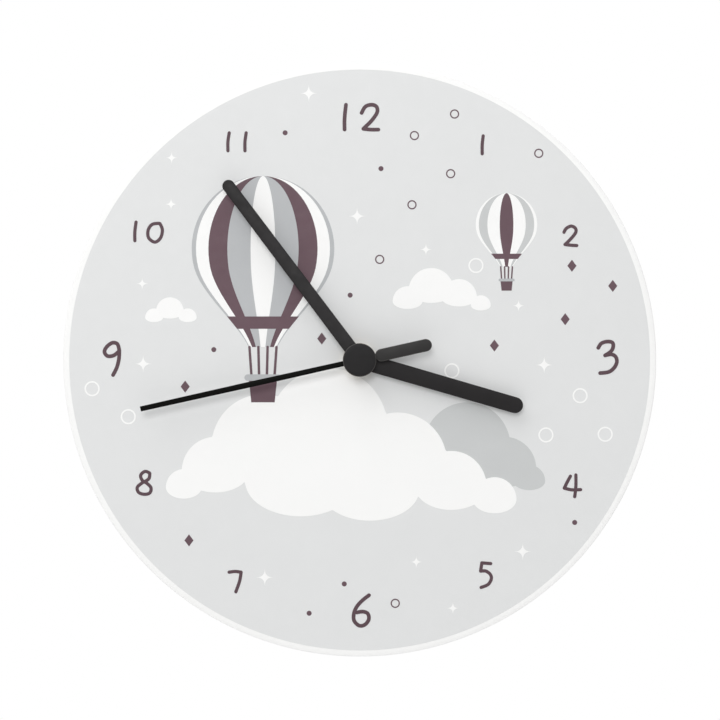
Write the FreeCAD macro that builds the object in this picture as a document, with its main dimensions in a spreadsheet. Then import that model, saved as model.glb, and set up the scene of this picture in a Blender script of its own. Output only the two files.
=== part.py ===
import FreeCAD, Part
import math
import os
import Sketcher

Vector = FreeCAD.Vector

# All lengths are in millimetres. The wall touches the back of the clock at y = 0,
# the hands turn about the y axis, and the dial faces -y. A depth is measured from
# the wall towards the front. Angles are clockwise from twelve, seen from the front.
SIZES = {
    # Dial panel
    "panel_diameter": 200.0,
    "panel_thick": 4.0,
    "panel_edge_bevel": 0.8,
    # Small fits
    "push_fit": 0.02,
    "running_fit": 0.06,
    "loose_fit": 0.2,
    "overrun": 0.5,
    # Centre fixing
    "gasket_width": 28.0,
    "gasket_thick": 0.8,
    "bush_diameter": 8.0,
    "bush_proud": 0.3,
    "washer_diameter": 10.4,
    "washer_thick": 0.4,
    "nut_corner_diameter": 10.8,
    "nut_thick": 2.0,
    # Movement case
    "case_depth": 16.5,
    "case_wall": 1.2,
    "case_corner": 3.0,
    "front_wall": 1.4,
    "cover_thick": 1.2,
    "rib_thick": 1.2,
    "finger_notch_width": 14.0,
    "finger_notch_depth": 6.0,
    # Battery
    "cell_diameter": 14.5,
    "cell_length": 50.5,
    "train_low_reach": 10.5,
    "cell_clearance": 0.3,
    "nub_diameter": 5.5,
    "nub_length": 1.2,
    # Battery contacts
    "contact_thick": 0.4,
    "contact_seat": 0.1,
    "contact_height": 10.0,
    "contact_depth": 10.0,
    "strip_width": 2.0,
    "strip_back": 2.0,
    "leaf_rise": 1.9,
    "leaf_flat": 2.6,
    "contact_run_inset": 4.0,
    # Gear train bridge and its posts
    "bridge_depth": 4.2,
    "bridge_thick": 1.0,
    "post_width": 3.0,
    "left_post_x": 14.0,
    "left_post_z": 11.0,
    "right_post_x": 17.0,
    "right_post_z": 9.0,
    "low_post_z": 9.1,
    "bridge_margin": 2.4,
    # Gear levels
    "first_gap": 0.4,
    "level_step": 1.2,
    "wheel_thick": 0.6,
    "pinion_proud": 0.2,
    # Time train
    "train_spacing": 7.92,
    "seconds_pinion_teeth": 6,
    "third_wheel_teeth": 45,
    "third_pinion_teeth": 6,
    "centre_wheel_teeth": 48,
    "intermediate_spacing": 7.8,
    "intermediate_pinion_teeth": 6,
    "seconds_wheel_teeth": 30,
    "rotor_spacing": 5.6,
    "rotor_pinion_teeth": 6,
    "intermediate_wheel_teeth": 36,
    # Motion work
    "motion_spacing": 7.0,
    "cannon_teeth": 10,
    "minute_wheel_teeth": 30,
    "minute_pinion_teeth": 8,
    "hour_wheel_teeth": 32,
    # Tooth form, as shares of the module or of the pitch
    "tooth_top_share": 0.7,
    "tooth_root_share": 1.1,
    "tooth_width_share": 0.34,
    "flank_slope_share": 0.3,
    # Arbors and tubes
    "thin_arbor_diameter": 0.7,
    "pivot_depth": 0.7,
    "seconds_arbor_diameter": 1.0,
    "minute_tube_diameter": 2.6,
    "hour_tube_diameter": 5.0,
    "hour_collar_diameter": 6.8,
    "stud_diameter": 1.2,
    "spoke_rim": 1.1,
    "spoke_width": 0.9,
    "window_narrowing_share": 0.7,
    "wheel_hub_diameter": 3.4,
    "wheel_window_count": 5,
    # Friction clutch
    "clutch_diameter": 6.8,
    "clutch_waist_share": 0.6,
    "clutch_thick": 0.2,
    # Setting knob
    "knob_diameter": 9.2,
    "knob_back": 0.4,
    "knob_thick": 1.8,
    "knob_stem_diameter": 2.4,
    "knob_notch_count": 14,
    "knob_notch_width": 1.0,
    "knob_notch_depth": 0.6,
    "well_diameter": 11.0,
    "well_floor_back": 2.9,
    "well_wall": 1.0,
    # Stepper motor
    "magnet_diameter": 4.8,
    "magnet_length": 2.6,
    "stator_back": 9.0,
    "stator_thick": 1.0,
    "stator_air_gap": 0.4,
    "stator_ring_width": 8.4,
    "arm_gap": 1.4,
    "arm_width": 3.6,
    "coil_gap": 0.4,
    "coil_top_gap": 0.8,
    "coil_length": 18.0,
    "coil_flange_width": 8.0,
    "coil_flange_thick": 0.8,
    "coil_barrel_width": 4.0,
    "coil_winding_diameter": 7.2,
    "core_width": 2.6,
    "core_thick": 1.6,
    # Circuit board
    "board_side_gap": 0.9,
    "board_top_gap": 1.3,
    "board_width": 9.4,
    "board_height": 16.0,
    "board_depth": 5.6,
    "board_thick": 0.8,
    "board_post_width": 2.4,
    "board_post_inset": 0.4,
    "chip_width": 5.2,
    "chip_height": 1.0,
    "chip_bevel": 0.6,
    "crystal_diameter": 2.0,
    "crystal_length": 6.0,
    # Hanger
    "hanger_width": 18.0,
    "hanger_thick": 1.0,
    "hanger_foot": 11.0,
    "hanger_hole_rise": 6.0,
    "hanger_hole_diameter": 8.0,
    # Hands
    "hand_gap": 0.5,
    "hand_thick": 0.8,
    "tube_proud": 0.2,
    "hand_root_diameter": 8.0,
    "hour_hand_length": 57.0,
    "hour_hand_width": 5.6,
    "hour_hand_tip_width": 5.4,
    "hour_hand_angle": 106.2,
    "minute_hand_length": 75.0,
    "minute_hand_width": 4.6,
    "minute_hand_tip_width": 4.2,
    "minute_hand_angle": 323.0,
    "minute_hand_gap": 0.8,
    "second_hand_length": 75.0,
    "second_hand_angle": 257.4,
    "second_hand_gap": 0.8,
    "second_hub_diameter": 11.2,
    "second_hub_thick": 2.0,
    "second_hub_bevel": 0.4,
    "second_arm_set": 0.4,
    "second_arm_thick": 0.6,
    "second_arm_root_width": 1.6,
    "second_arm_middle_width": 1.9,
    "second_arm_tip_width": 1.65,
    "tail_length": 24.7,
    "tail_width": 4.2,
    "tail_start": 7.5,
    "pipe_diameter": 2.2,
    "pipe_sink": 1.2,
    "pipe_proud": 0.4,
}

doc = FreeCAD.newDocument("WallClock")
sheet = doc.addObject("Spreadsheet::Sheet", "Sizes")
for row, (name, value) in enumerate(SIZES.items(), start=1):
    cell = "A%d" % row
    sheet.set(cell, str(value))
    sheet.setAlias(cell, name)
doc.recompute()

PIECES = []


def find_plane(body, role):
    """Return one of the body's own origin planes or axes."""
    for feature in body.Origin.OriginFeatures:
        if feature.Role == role:
            return feature
    raise ValueError(role)


def new_piece(label, x="0", depth="0", z="0", angle="0"):
    """Start a piece whose own frame lies at x, z and a depth from the wall."""
    body = doc.addObject("PartDesign::Body", label)
    body.Label = label
    body.Placement = FreeCAD.Placement(Vector(0, 0, 0), FreeCAD.Rotation(Vector(0, 1, 0), 1))
    body.setExpression("Placement.Base.x", x)
    body.setExpression("Placement.Base.y", "-(%s)" % depth)
    body.setExpression("Placement.Base.z", z)
    body.setExpression("Placement.Rotation.Angle", angle)
    PIECES.append(body)
    return body


def new_sketch(body, offset="0", role="XZ_Plane"):
    """Start a sketch on an origin plane, shifted along the plane's normal."""
    sketch = body.newObject("Sketcher::SketchObject", body.Label + "_sketch")
    sketch.AttachmentSupport = [(find_plane(body, role), "")]
    sketch.MapMode = "FlatFace"
    sketch.setExpression("AttachmentOffset.Base.z", offset)
    return sketch


def add_circle(sketch, diameter, x=None, y=None):
    """Add a circle, centred on the sketch's origin unless a place is given."""
    centre = Vector(0, 0, 0)
    index = sketch.addGeometry(Part.Circle(centre, Vector(0, 0, 1), 1))
    radius = sketch.addConstraint(Sketcher.Constraint("Radius", index, 1))
    sketch.setExpression("Constraints[%d]" % radius, "(%s) / 2" % diameter)
    if x is None:
        sketch.addConstraint(Sketcher.Constraint("Coincident", index, 3, -1, 1))
        return
    across = sketch.addConstraint(Sketcher.Constraint("DistanceX", -1, 1, index, 3, 1))
    sketch.setExpression("Constraints[%d]" % across, x)
    up = sketch.addConstraint(Sketcher.Constraint("DistanceY", -1, 1, index, 3, 1))
    sketch.setExpression("Constraints[%d]" % up, y)


def add_outline(sketch, corners):
    """Add a closed outline of straight sides through corners given as formulas."""
    count = len(corners)
    first = sketch.GeometryCount
    for step in range(count):
        here = 2 * math.pi * step / count
        there = 2 * math.pi * (step + 1) / count
        start = Vector(math.cos(here), math.sin(here), 0)
        end = Vector(math.cos(there), math.sin(there), 0)
        sketch.addGeometry(Part.LineSegment(start, end))
    for step in range(count):
        after = first + (step + 1) % count
        sketch.addConstraint(Sketcher.Constraint("Coincident", first + step, 2, after, 1))
    for step, (x, y) in enumerate(corners):
        across = sketch.addConstraint(Sketcher.Constraint("DistanceX", -1, 1, first + step, 1, 1))
        sketch.setExpression("Constraints[%d]" % across, x)
        up = sketch.addConstraint(Sketcher.Constraint("DistanceY", -1, 1, first + step, 1, 1))
        sketch.setExpression("Constraints[%d]" % up, y)


def add_box(sketch, left, right, low, high):
    """Add a rectangle between four formulas."""
    add_outline(sketch, [(left, low), (right, low), (right, high), (left, high)])


def pad(body, sketch, length):
    """Raise a sketch along its normal, which is towards the front on the dial plane."""
    feature = body.newObject("PartDesign::Pad", body.Label + "_pad")
    feature.Profile = sketch
    feature.setExpression("Length", length)
    body.Tip = feature
    return feature


def cut(body, sketch, length):
    """Cut a sketch along its normal, from its own plane forwards."""
    feature = body.newObject("PartDesign::Pocket", body.Label + "_cut")
    feature.Profile = sketch
    feature.Reversed = True
    feature.setExpression("Length", length)
    body.Tip = feature
    return feature


def turn_copies(body, feature, count):
    """Repeat a feature evenly round the body's y axis."""
    pattern = body.newObject("PartDesign::PolarPattern", body.Label + "_pattern")
    pattern.Originals = [feature]
    pattern.Axis = (find_plane(body, "Y_Axis"), [""])
    pattern.Angle = 360
    pattern.setExpression("Occurrences", count)
    body.Tip = pattern
    return pattern


def ease_edges(body, base, kind, size, wanted):
    """Round or bevel the edges of the last feature that a test picks out."""
    doc.recompute()
    names = []
    for number, edge in enumerate(base.Shape.Edges, start=1):
        if wanted(edge):
            names.append("Edge%d" % number)
    feature = body.newObject("PartDesign::" + kind, body.Label + "_" + kind.lower())
    feature.Base = (base, names)
    feature.setExpression("Radius" if kind == "Fillet" else "Size", size)
    body.Tip = feature
    return feature


def pad_circle(body, diameter, back, front, x=None, y=None):
    """Raise a round post between two depths in the body's own frame."""
    sketch = new_sketch(body, back)
    add_circle(sketch, diameter, x, y)
    return pad(body, sketch, "%s - (%s)" % (front, back))


def cut_circle(body, diameter, back, front, x=None, y=None):
    """Cut a round hole between two depths in the body's own frame."""
    sketch = new_sketch(body, back)
    add_circle(sketch, diameter, x, y)
    return cut(body, sketch, "%s - (%s)" % (front, back))


def pad_box(body, box, back, front):
    """Raise a rectangle, given as left, right, low and high, between two depths."""
    sketch = new_sketch(body, back)
    add_box(sketch, *box)
    return pad(body, sketch, "%s - (%s)" % (front, back))


def cut_box(body, box, back, front):
    """Cut a rectangle, given as left, right, low and high, between two depths."""
    sketch = new_sketch(body, back)
    add_box(sketch, *box)
    return cut(body, sketch, "%s - (%s)" % (front, back))


def ring(label, depth, thick, outer, inner):
    """Make a flat ring about the hands' axis."""
    body = new_piece(label, depth=depth)
    sketch = new_sketch(body)
    add_circle(sketch, outer)
    add_circle(sketch, inner)
    pad(body, sketch, thick)
    return body


def cut_teeth(body, teeth, module, back, thick):
    """Cut straight-sided gaps, one of them centred on the body's x axis, and trim the tips flat."""
    pitch = "(%s * %s / 2)" % (teeth, module)
    root = "(%s - Sizes.tooth_root_share * %s)" % (pitch, module)
    tip = "(%s + Sizes.tooth_top_share * %s)" % (pitch, module)
    slope = "Sizes.flank_slope_share"
    half_gap = "(pi * %s * (1 - Sizes.tooth_width_share) / 2)" % module
    narrow = "(%s - Sizes.tooth_root_share * %s * %s)" % (half_gap, module, slope)
    turn = "180 deg / %s" % teeth
    offset = "(%s - %s * %s)" % (half_gap, slope, pitch)
    edge_x = "((%s - %s * sin(%s)) / (cos(%s) + %s * sin(%s)))" % (tip, offset, turn, turn, slope, turn)
    edge_y = "(%s + %s * %s)" % (offset, slope, edge_x)
    far = "(%s + 2 * Sizes.overrun)" % tip
    past = "Sizes.push_fit"
    middle = ("(%s * cos(%s) - %s * sin(%s))" % (tip, turn, past, turn),
              "(%s * sin(%s) + %s * cos(%s))" % (tip, turn, past, turn))
    outside = ("(%s * cos(%s) - %s * sin(%s))" % (far, turn, past, turn),
               "(%s * sin(%s) + %s * cos(%s))" % (far, turn, past, turn))
    upper = [outside, middle, (edge_x, edge_y), (root, narrow)]
    lower = [(x, "-" + y) for x, y in reversed(upper)]
    sketch = new_sketch(body, "%s - Sizes.overrun" % back)
    add_outline(sketch, lower + upper)
    gap = cut(body, sketch, "%s + 2 * Sizes.overrun" % thick)
    return turn_copies(body, gap, teeth)


def root_diameter(teeth, module):
    """Formula for the diameter under the teeth of a gear."""
    return "(%s * %s - 2 * Sizes.tooth_root_share * %s)" % (teeth, module, module)


def add_gear(body, back, thick, teeth, module, bore=None):
    """Raise a toothed disc in the body's own frame."""
    sketch = new_sketch(body, back)
    tip_diameter = "(%s * %s + 2 * Sizes.tooth_top_share * %s)" % (teeth, module, module)
    add_circle(sketch, "%s + 2 * Sizes.overrun" % tip_diameter)
    if bore:
        add_circle(sketch, bore)
    pad(body, sketch, thick)
    cut_teeth(body, teeth, module, back, thick)


def gear(label, place, depth, thick, teeth, module, facing, bore=None):
    """Make a gear whose gap points at the angle facing, or whose tooth does."""
    x, z = place
    body = new_piece(label, x=x, depth=depth, z=z, angle=facing)
    add_gear(body, "0", thick, teeth, module, bore)
    return body


def lighten(body, teeth, module):
    """Open a ring of straight-sided windows in the web of a wheel, which leaves its spokes."""
    near = "(Sizes.wheel_hub_diameter / 2)"
    far = "(%s / 2 - Sizes.spoke_rim)" % root_diameter(teeth, module)
    half_angle = "(180 deg / Sizes.wheel_window_count)"
    half_spoke = "Sizes.spoke_width / (2 * cos(%s))" % half_angle
    near_half = "(%s * tan(%s) - %s)" % (near, half_angle, half_spoke)
    far_half = "(%s * tan(%s) - %s) * Sizes.window_narrowing_share" % (far, half_angle, half_spoke)
    sketch = new_sketch(body, "-Sizes.overrun")
    corners = [(near, "-" + near_half), (far, "-" + far_half), (far, far_half), (near, near_half)]
    add_outline(sketch, corners)
    hole = cut(body, sketch, "Sizes.wheel_thick + 2 * Sizes.overrun")
    turn_copies(body, hole, "Sizes.wheel_window_count")


def level(number):
    """Depth of the back of a wheel on a level of the train, counted from the bridge."""
    bridge_front = "Sizes.bridge_depth + Sizes.bridge_thick"
    return "(%s + Sizes.first_gap + %d * Sizes.level_step)" % (bridge_front, number)


def pinion_back(number):
    """Depth of the back of a pinion, a little proud of the wheel it drives."""
    return "(%s - Sizes.pinion_proud)" % level(number)


PINION_THICK = "(Sizes.wheel_thick + 2 * Sizes.pinion_proud)"


def tooth_facing(angle, teeth):
    """Angle that turns a tooth, not a gap, to the given direction."""
    return "%d + 180 / %s" % (angle, teeth)


# Directions in which gears face their mates, as turns of the x axis about y
RIGHT = 0
DOWN = 90
LEFT = 180
UP = -90

# Depths of the faces that the pieces share
front_inner = "(Sizes.case_depth - Sizes.front_wall)"
panel_back = "(Sizes.case_depth + Sizes.gasket_thick)"
panel_front = "(%s + Sizes.panel_thick)" % panel_back
nut_back = "(%s + Sizes.washer_thick)" % panel_front
bush_front = "(%s + Sizes.nut_thick + Sizes.bush_proud)" % nut_back
hour_hand_back = "(%s + Sizes.hand_gap)" % bush_front
hour_tube_front = "(%s + Sizes.hand_thick + Sizes.tube_proud)" % hour_hand_back
minute_hand_back = "(%s + Sizes.minute_hand_gap)" % hour_tube_front
minute_tube_front = "(%s + Sizes.hand_thick + Sizes.tube_proud)" % minute_hand_back
second_hub_back = "(%s + Sizes.second_hand_gap)" % minute_tube_front
bridge_front = "(Sizes.bridge_depth + Sizes.bridge_thick)"
board_front = "(Sizes.board_depth + Sizes.board_thick)"
core_front = "(Sizes.stator_back + Sizes.stator_thick + Sizes.core_thick)"

# Places of the arbors
centre_place = ("0", "0")
third_place = ("-Sizes.train_spacing", "0")
intermediate_place = ("0", "Sizes.intermediate_spacing")
rotor_z = "(Sizes.intermediate_spacing + Sizes.rotor_spacing)"
rotor_place = ("0", rotor_z)
minute_wheel_place = ("Sizes.motion_spacing", "0")
knob_place = ("2 * Sizes.motion_spacing", "0")

# Height of the coil above the hands, which clears the stator's ring
coil_z = "(%s + (Sizes.stator_ring_width + Sizes.coil_flange_width) / 2 + Sizes.coil_gap)" % rotor_z

# Walls of the movement case: its width follows the cell and its contacts, its top the coil, and
# its foot the train and the cell's bay under it
end_parts = "(2 * Sizes.contact_thick + 4 * Sizes.contact_seat + Sizes.leaf_rise)"
inner_half = "((Sizes.cell_length + %s) / 2)" % end_parts
half_case = "(%s + Sizes.case_wall)" % inner_half
inner_top = "(%s + Sizes.coil_flange_width / 2 + Sizes.coil_top_gap)" % coil_z
case_top = "(%s + Sizes.case_wall)" % inner_top
rib_top = "(-Sizes.train_low_reach)"
bay_high = "(%s - Sizes.rib_thick)" % rib_top
inner_low = "(%s - Sizes.cell_diameter - 2 * Sizes.cell_clearance)" % bay_high
case_low = "(%s - Sizes.case_wall)" % inner_low
bay_front = "(Sizes.case_depth - Sizes.case_wall)"
cell_depth = "(%s - Sizes.cell_clearance - Sizes.cell_diameter / 2)" % bay_front
cell_z = "(%s - Sizes.cell_clearance - Sizes.cell_diameter / 2)" % bay_high

# Edges of the circuit board
board_left = "(Sizes.board_side_gap - %s)" % inner_half
board_right = "(%s + Sizes.board_width)" % board_left
board_high = "(%s - Sizes.board_top_gap)" % inner_top
board_low = "(%s - Sizes.board_height)" % board_high

# Reach of the stator's arms on each side of the coil
arm_inner = "(Sizes.coil_length / 2 + Sizes.arm_gap)"
arm_outer = "(%s + Sizes.arm_width)" % arm_inner

# Modules that follow from the spacings and the tooth counts
rotor_module = "(2 * Sizes.rotor_spacing / (Sizes.rotor_pinion_teeth + Sizes.intermediate_wheel_teeth))"
seconds_module = (
    "(2 * Sizes.intermediate_spacing"
    " / (Sizes.intermediate_pinion_teeth + Sizes.seconds_wheel_teeth))"
)
third_module = "(2 * Sizes.train_spacing / (Sizes.seconds_pinion_teeth + Sizes.third_wheel_teeth))"
centre_module = "(2 * Sizes.train_spacing / (Sizes.third_pinion_teeth + Sizes.centre_wheel_teeth))"
cannon_module = "(2 * Sizes.motion_spacing / (Sizes.cannon_teeth + Sizes.minute_wheel_teeth))"
hour_module = "(2 * Sizes.motion_spacing / (Sizes.minute_pinion_teeth + Sizes.hour_wheel_teeth))"


def is_upright_corner(edge):
    """True for a straight edge that runs from the front to the back."""
    box = edge.BoundBox
    return len(edge.Vertexes) == 2 and box.XLength + box.ZLength < box.YLength * SIZES["push_fit"]


def is_back_edge(edge):
    """True for an edge that lies in the back face of a piece, in its own frame."""
    box = edge.BoundBox
    return max(abs(box.YMin), abs(box.YMax)) < SIZES["push_fit"]


def outer_circle_at(depth, diameter):
    """Make a test for a circular edge of a given size at a given depth."""
    def test(edge):
        box = edge.BoundBox
        near = SIZES["push_fit"]
        return abs(-box.YMin - depth) < near and box.YLength < near and abs(box.XLength - diameter) < near
    return test


def build_panel():
    """The round dial board, bevelled at its front edge."""
    body = new_piece("dial_panel", depth=panel_back)
    sketch = new_sketch(body)
    add_circle(sketch, "Sizes.panel_diameter")
    add_circle(sketch, "Sizes.bush_diameter + 2 * Sizes.loose_fit")
    disc = pad(body, sketch, "Sizes.panel_thick")
    wanted = outer_circle_at(SIZES["panel_thick"], SIZES["panel_diameter"])
    ease_edges(body, disc, "Chamfer", "Sizes.panel_edge_bevel", wanted)


def build_centre_fixing():
    """Gasket, threaded bush, washer and six-sided nut that clamp the panel."""
    clear_hole = "Sizes.bush_diameter + 2 * Sizes.push_fit"
    gasket = new_piece("rubber_gasket", depth="Sizes.case_depth")
    sketch = new_sketch(gasket)
    half_gasket = "Sizes.gasket_width / 2"
    add_box(sketch, "-" + half_gasket, half_gasket, "-" + half_gasket, half_gasket)
    add_circle(sketch, clear_hole)
    pad(gasket, sketch, "Sizes.gasket_thick")
    ring("brass_washer", panel_front, "Sizes.washer_thick", "Sizes.washer_diameter", clear_hole)
    bush_length = "%s - %s" % (bush_front, front_inner)
    bush_bore = "Sizes.hour_tube_diameter + 2 * Sizes.running_fit"
    ring("threaded_bush", front_inner, bush_length, "Sizes.bush_diameter", bush_bore)
    nut = new_piece("shaft_nut", depth=nut_back)
    sketch = new_sketch(nut)
    corners = []
    for step in range(6):
        corner = "Sizes.nut_corner_diameter / 2 * %s(" + "%d deg)" % (60 * step)
        corners.append((corner % "cos", corner % "sin"))
    add_outline(sketch, corners)
    add_circle(sketch, clear_hole)
    pad(nut, sketch, "Sizes.nut_thick")


def build_front_case():
    """Moulded front shell with the train room, battery bay, posts and pivots."""
    body = new_piece("front_case")
    sketch = new_sketch(body, "Sizes.cover_thick")
    add_box(sketch, "-" + half_case, half_case, case_low, case_top)
    block = pad(body, sketch, "Sizes.case_depth - Sizes.cover_thick")
    ease_edges(body, block, "Fillet", "Sizes.case_corner", is_upright_corner)
    back = "Sizes.cover_thick - Sizes.overrun"
    cut_box(body, ("-" + inner_half, inner_half, rib_top, inner_top), back, front_inner)
    cut_box(body, ("-" + inner_half, inner_half, inner_low, bay_high), back, bay_front)
    slot_low = bay_high + " - Sizes.loose_fit"
    slot_high = rib_top + " + Sizes.loose_fit"
    slot_in = "(%s - Sizes.contact_thick - 2 * Sizes.contact_seat)" % inner_half
    strip_front = "Sizes.strip_back + Sizes.strip_width + Sizes.loose_fit"
    cut_box(body, (slot_in, inner_half, slot_low, slot_high), back, strip_front)
    strip_front = board_front + " + Sizes.strip_width + Sizes.loose_fit"
    cut_box(body, ("-" + inner_half, "-" + slot_in, slot_low, slot_high), back, strip_front)
    cut_box(body, finger_notch(), back, "Sizes.cover_thick + Sizes.finger_notch_depth")
    wall_root = front_inner + " + Sizes.overrun"
    for x, z in bridge_posts():
        half_post = "Sizes.post_width / 2"
        left, right = ("%s - %s" % (x, half_post), "%s + %s" % (x, half_post))
        low, high = ("%s - %s" % (z, half_post), "%s + %s" % (z, half_post))
        pad_box(body, (left, right, low, high), bridge_front, wall_root)
    for post in board_posts():
        pad_box(body, post, board_front, wall_root)
    saddle_low = "(%s - Sizes.core_width / 2)" % coil_z
    saddle_high = "(%s + Sizes.core_width / 2)" % coil_z
    for near, far in ((arm_inner, arm_outer), ("-" + arm_outer, "-" + arm_inner)):
        pad_box(body, (near, far, saddle_low, saddle_high), core_front, wall_root)
    pad_circle(body, "Sizes.stud_diameter", pinion_back(4), wall_root, *minute_wheel_place)
    bush_hole = "Sizes.bush_diameter + 2 * Sizes.push_fit"
    cut_circle(body, bush_hole, front_inner + " - Sizes.overrun", "Sizes.case_depth + Sizes.overrun")
    pivot_hole = "Sizes.thin_arbor_diameter + 2 * Sizes.running_fit"
    pivot_front = front_inner + " + Sizes.pivot_depth + Sizes.running_fit"
    for x, z in (third_place, intermediate_place, rotor_place, knob_place):
        cut_circle(body, pivot_hole, front_inner + " - Sizes.overrun", pivot_front, x, z)


def finger_notch():
    """Left, right, low and high sides of the notch that lets a finger lift the cell out."""
    half_notch = "Sizes.finger_notch_width / 2"
    low = case_low + " - Sizes.overrun"
    high = inner_low + " + Sizes.overrun"
    return ("-" + half_notch, half_notch, low, high)


def bridge_posts():
    """Places of the three posts that carry the bridge."""
    return [
        ("-Sizes.left_post_x", "Sizes.left_post_z"),
        ("Sizes.right_post_x", "Sizes.right_post_z"),
        ("0", "-Sizes.low_post_z"),
    ]


def board_posts():
    """Left, right, low and high sides of the two square posts that carry the circuit board."""
    right = "(%s - Sizes.board_post_inset)" % board_right
    left = "(%s - Sizes.board_post_width)" % right
    low = "(%s + Sizes.board_post_inset)" % board_low
    high = "(%s - Sizes.board_post_inset)" % board_high
    lower_post = (left, right, low, "(%s + Sizes.board_post_width)" % low)
    upper_post = (left, right, "(%s - Sizes.board_post_width)" % high, high)
    return [lower_post, upper_post]


def build_rear_cover():
    """Flat rear cover with the battery opening and the sunk well of the knob."""
    body = new_piece("rear_cover")
    sketch = new_sketch(body)
    add_box(sketch, "-" + half_case, half_case, case_low, case_top)
    plate = pad(body, sketch, "Sizes.cover_thick")
    ease_edges(body, plate, "Fillet", "Sizes.case_corner", is_upright_corner)
    opening_half = "(%s - Sizes.contact_thick - Sizes.contact_seat)" % inner_half
    opening = ("-" + opening_half, opening_half, inner_low, bay_high)
    cut_box(body, opening, "-Sizes.overrun", "Sizes.cover_thick + Sizes.overrun")
    cut_box(body, finger_notch(), "-Sizes.overrun", "Sizes.cover_thick + Sizes.overrun")
    x, z = knob_place
    well_front = "(Sizes.well_floor_back + Sizes.well_wall)"
    well_outer = "Sizes.well_diameter + 2 * Sizes.well_wall"
    pad_circle(body, well_outer, "0", well_front, x, z)
    cut_circle(body, "Sizes.well_diameter", "-Sizes.overrun", "Sizes.well_floor_back", x, z)
    stem_hole = "Sizes.knob_stem_diameter + 2 * Sizes.running_fit"
    cut_circle(body, stem_hole, "0", well_front + " + Sizes.overrun", x, z)


def build_bridge():
    """Plate behind the train that holds the rear pivots of the arbors."""
    body = new_piece("train_bridge", depth="Sizes.bridge_depth")
    sketch = new_sketch(body)
    edge = "Sizes.bridge_margin"
    left = "-(Sizes.left_post_x + %s)" % edge
    right = "(Sizes.right_post_x + %s)" % edge
    low = "-(Sizes.low_post_z + Sizes.post_width / 2 - Sizes.loose_fit)"
    top = "(%s + %s)" % (rotor_z, edge)
    beside_stem = "(2 * Sizes.motion_spacing - Sizes.knob_stem_diameter)"
    corners = [
        ("-2 * " + edge, low),
        ("2 * " + edge, low),
        (beside_stem, "0"),
        (beside_stem, "Sizes.right_post_z - " + edge),
        (right, "Sizes.right_post_z - " + edge),
        (right, "Sizes.right_post_z + " + edge),
        ("2 * " + edge, top),
        ("-2 * " + edge, top),
        (left, "Sizes.left_post_z + " + edge),
        (left, "0"),
    ]
    add_outline(sketch, corners)
    pad(body, sketch, "Sizes.bridge_thick")
    back = "-Sizes.overrun"
    front = "Sizes.bridge_thick + Sizes.overrun"
    pivot_hole = "Sizes.thin_arbor_diameter + 2 * Sizes.running_fit"
    for x, z in (third_place, intermediate_place, rotor_place):
        cut_circle(body, pivot_hole, back, front, x, z)
    cut_circle(body, "Sizes.seconds_arbor_diameter + 2 * Sizes.running_fit", back, front, *centre_place)


def moulded_wheel(label, place, wheel, pinion, facing):
    """Wheel, pinion and pivots in one moulding; a set of teeth is a level, a count and a module."""
    x, z = place
    wheel_level, wheel_teeth, wheel_module = wheel
    pinion_level, pinion_teeth, pinion_module = pinion
    wheel_back = level(wheel_level)
    body = new_piece(label, x=x, depth=wheel_back, z=z, angle="%d" % facing)
    if pinion_level < wheel_level:
        start = "(%s - %s)" % (pinion_back(pinion_level), wheel_back)
        thick = "(%s - %s)" % (wheel_back, pinion_back(pinion_level))
    else:
        start = "Sizes.wheel_thick"
        reach = (pinion_back(pinion_level), PINION_THICK, wheel_back)
        thick = "(%s + %s - %s - Sizes.wheel_thick)" % reach
    add_gear(body, start, thick, pinion_teeth, pinion_module)
    add_gear(body, "0", "Sizes.wheel_thick", wheel_teeth, wheel_module)
    lighten(body, wheel_teeth, wheel_module)
    back = "(Sizes.bridge_depth + Sizes.running_fit - %s)" % wheel_back
    front = "(%s + Sizes.pivot_depth - %s)" % (front_inner, wheel_back)
    pad_circle(body, "Sizes.thin_arbor_diameter", back, front)


def build_time_train():
    """Gears from the stepping rotor to the second hand and on to the centre wheel."""
    teeth = "Sizes.rotor_pinion_teeth"
    body = gear("rotor_arbor", rotor_place, pinion_back(1), PINION_THICK, teeth, rotor_module,
                tooth_facing(DOWN, teeth))
    back = "Sizes.bridge_depth + Sizes.running_fit - " + pinion_back(1)
    front = "(%s + Sizes.pivot_depth - %s)" % (front_inner, pinion_back(1))
    pad_circle(body, "Sizes.thin_arbor_diameter", back, front)
    wheel = (1, "Sizes.intermediate_wheel_teeth", rotor_module)
    pinion = (0, "Sizes.intermediate_pinion_teeth", seconds_module)
    moulded_wheel("intermediate_wheel", intermediate_place, wheel, pinion, DOWN)
    teeth = "Sizes.seconds_wheel_teeth"
    arbor_hole = "Sizes.seconds_arbor_diameter + 2 * Sizes.push_fit"
    wheel = ("Sizes.wheel_thick", teeth, seconds_module, tooth_facing(UP, teeth), arbor_hole)
    body = gear("seconds_wheel", centre_place, level(0), *wheel)
    lighten(body, teeth, seconds_module)
    teeth = "Sizes.seconds_pinion_teeth"
    pinion = (pinion_back(2), PINION_THICK, teeth, third_module, tooth_facing(LEFT, teeth))
    body = gear("seconds_arbor", centre_place, *pinion)
    back = "Sizes.bridge_depth + Sizes.running_fit - " + pinion_back(2)
    front = "(%s + Sizes.pipe_sink - Sizes.push_fit - %s)" % (second_hub_back, pinion_back(2))
    pad_circle(body, "Sizes.seconds_arbor_diameter", back, front)
    wheel = (2, "Sizes.third_wheel_teeth", third_module)
    pinion = (3, "Sizes.third_pinion_teeth", centre_module)
    moulded_wheel("third_wheel", third_place, wheel, pinion, RIGHT)
    teeth = "Sizes.centre_wheel_teeth"
    tube_hole = "Sizes.minute_tube_diameter + 2 * Sizes.running_fit"
    wheel = ("Sizes.wheel_thick", teeth, centre_module, tooth_facing(LEFT, teeth), tube_hole)
    body = gear("centre_wheel", centre_place, level(3), *wheel)
    lighten(body, teeth, centre_module)


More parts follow.
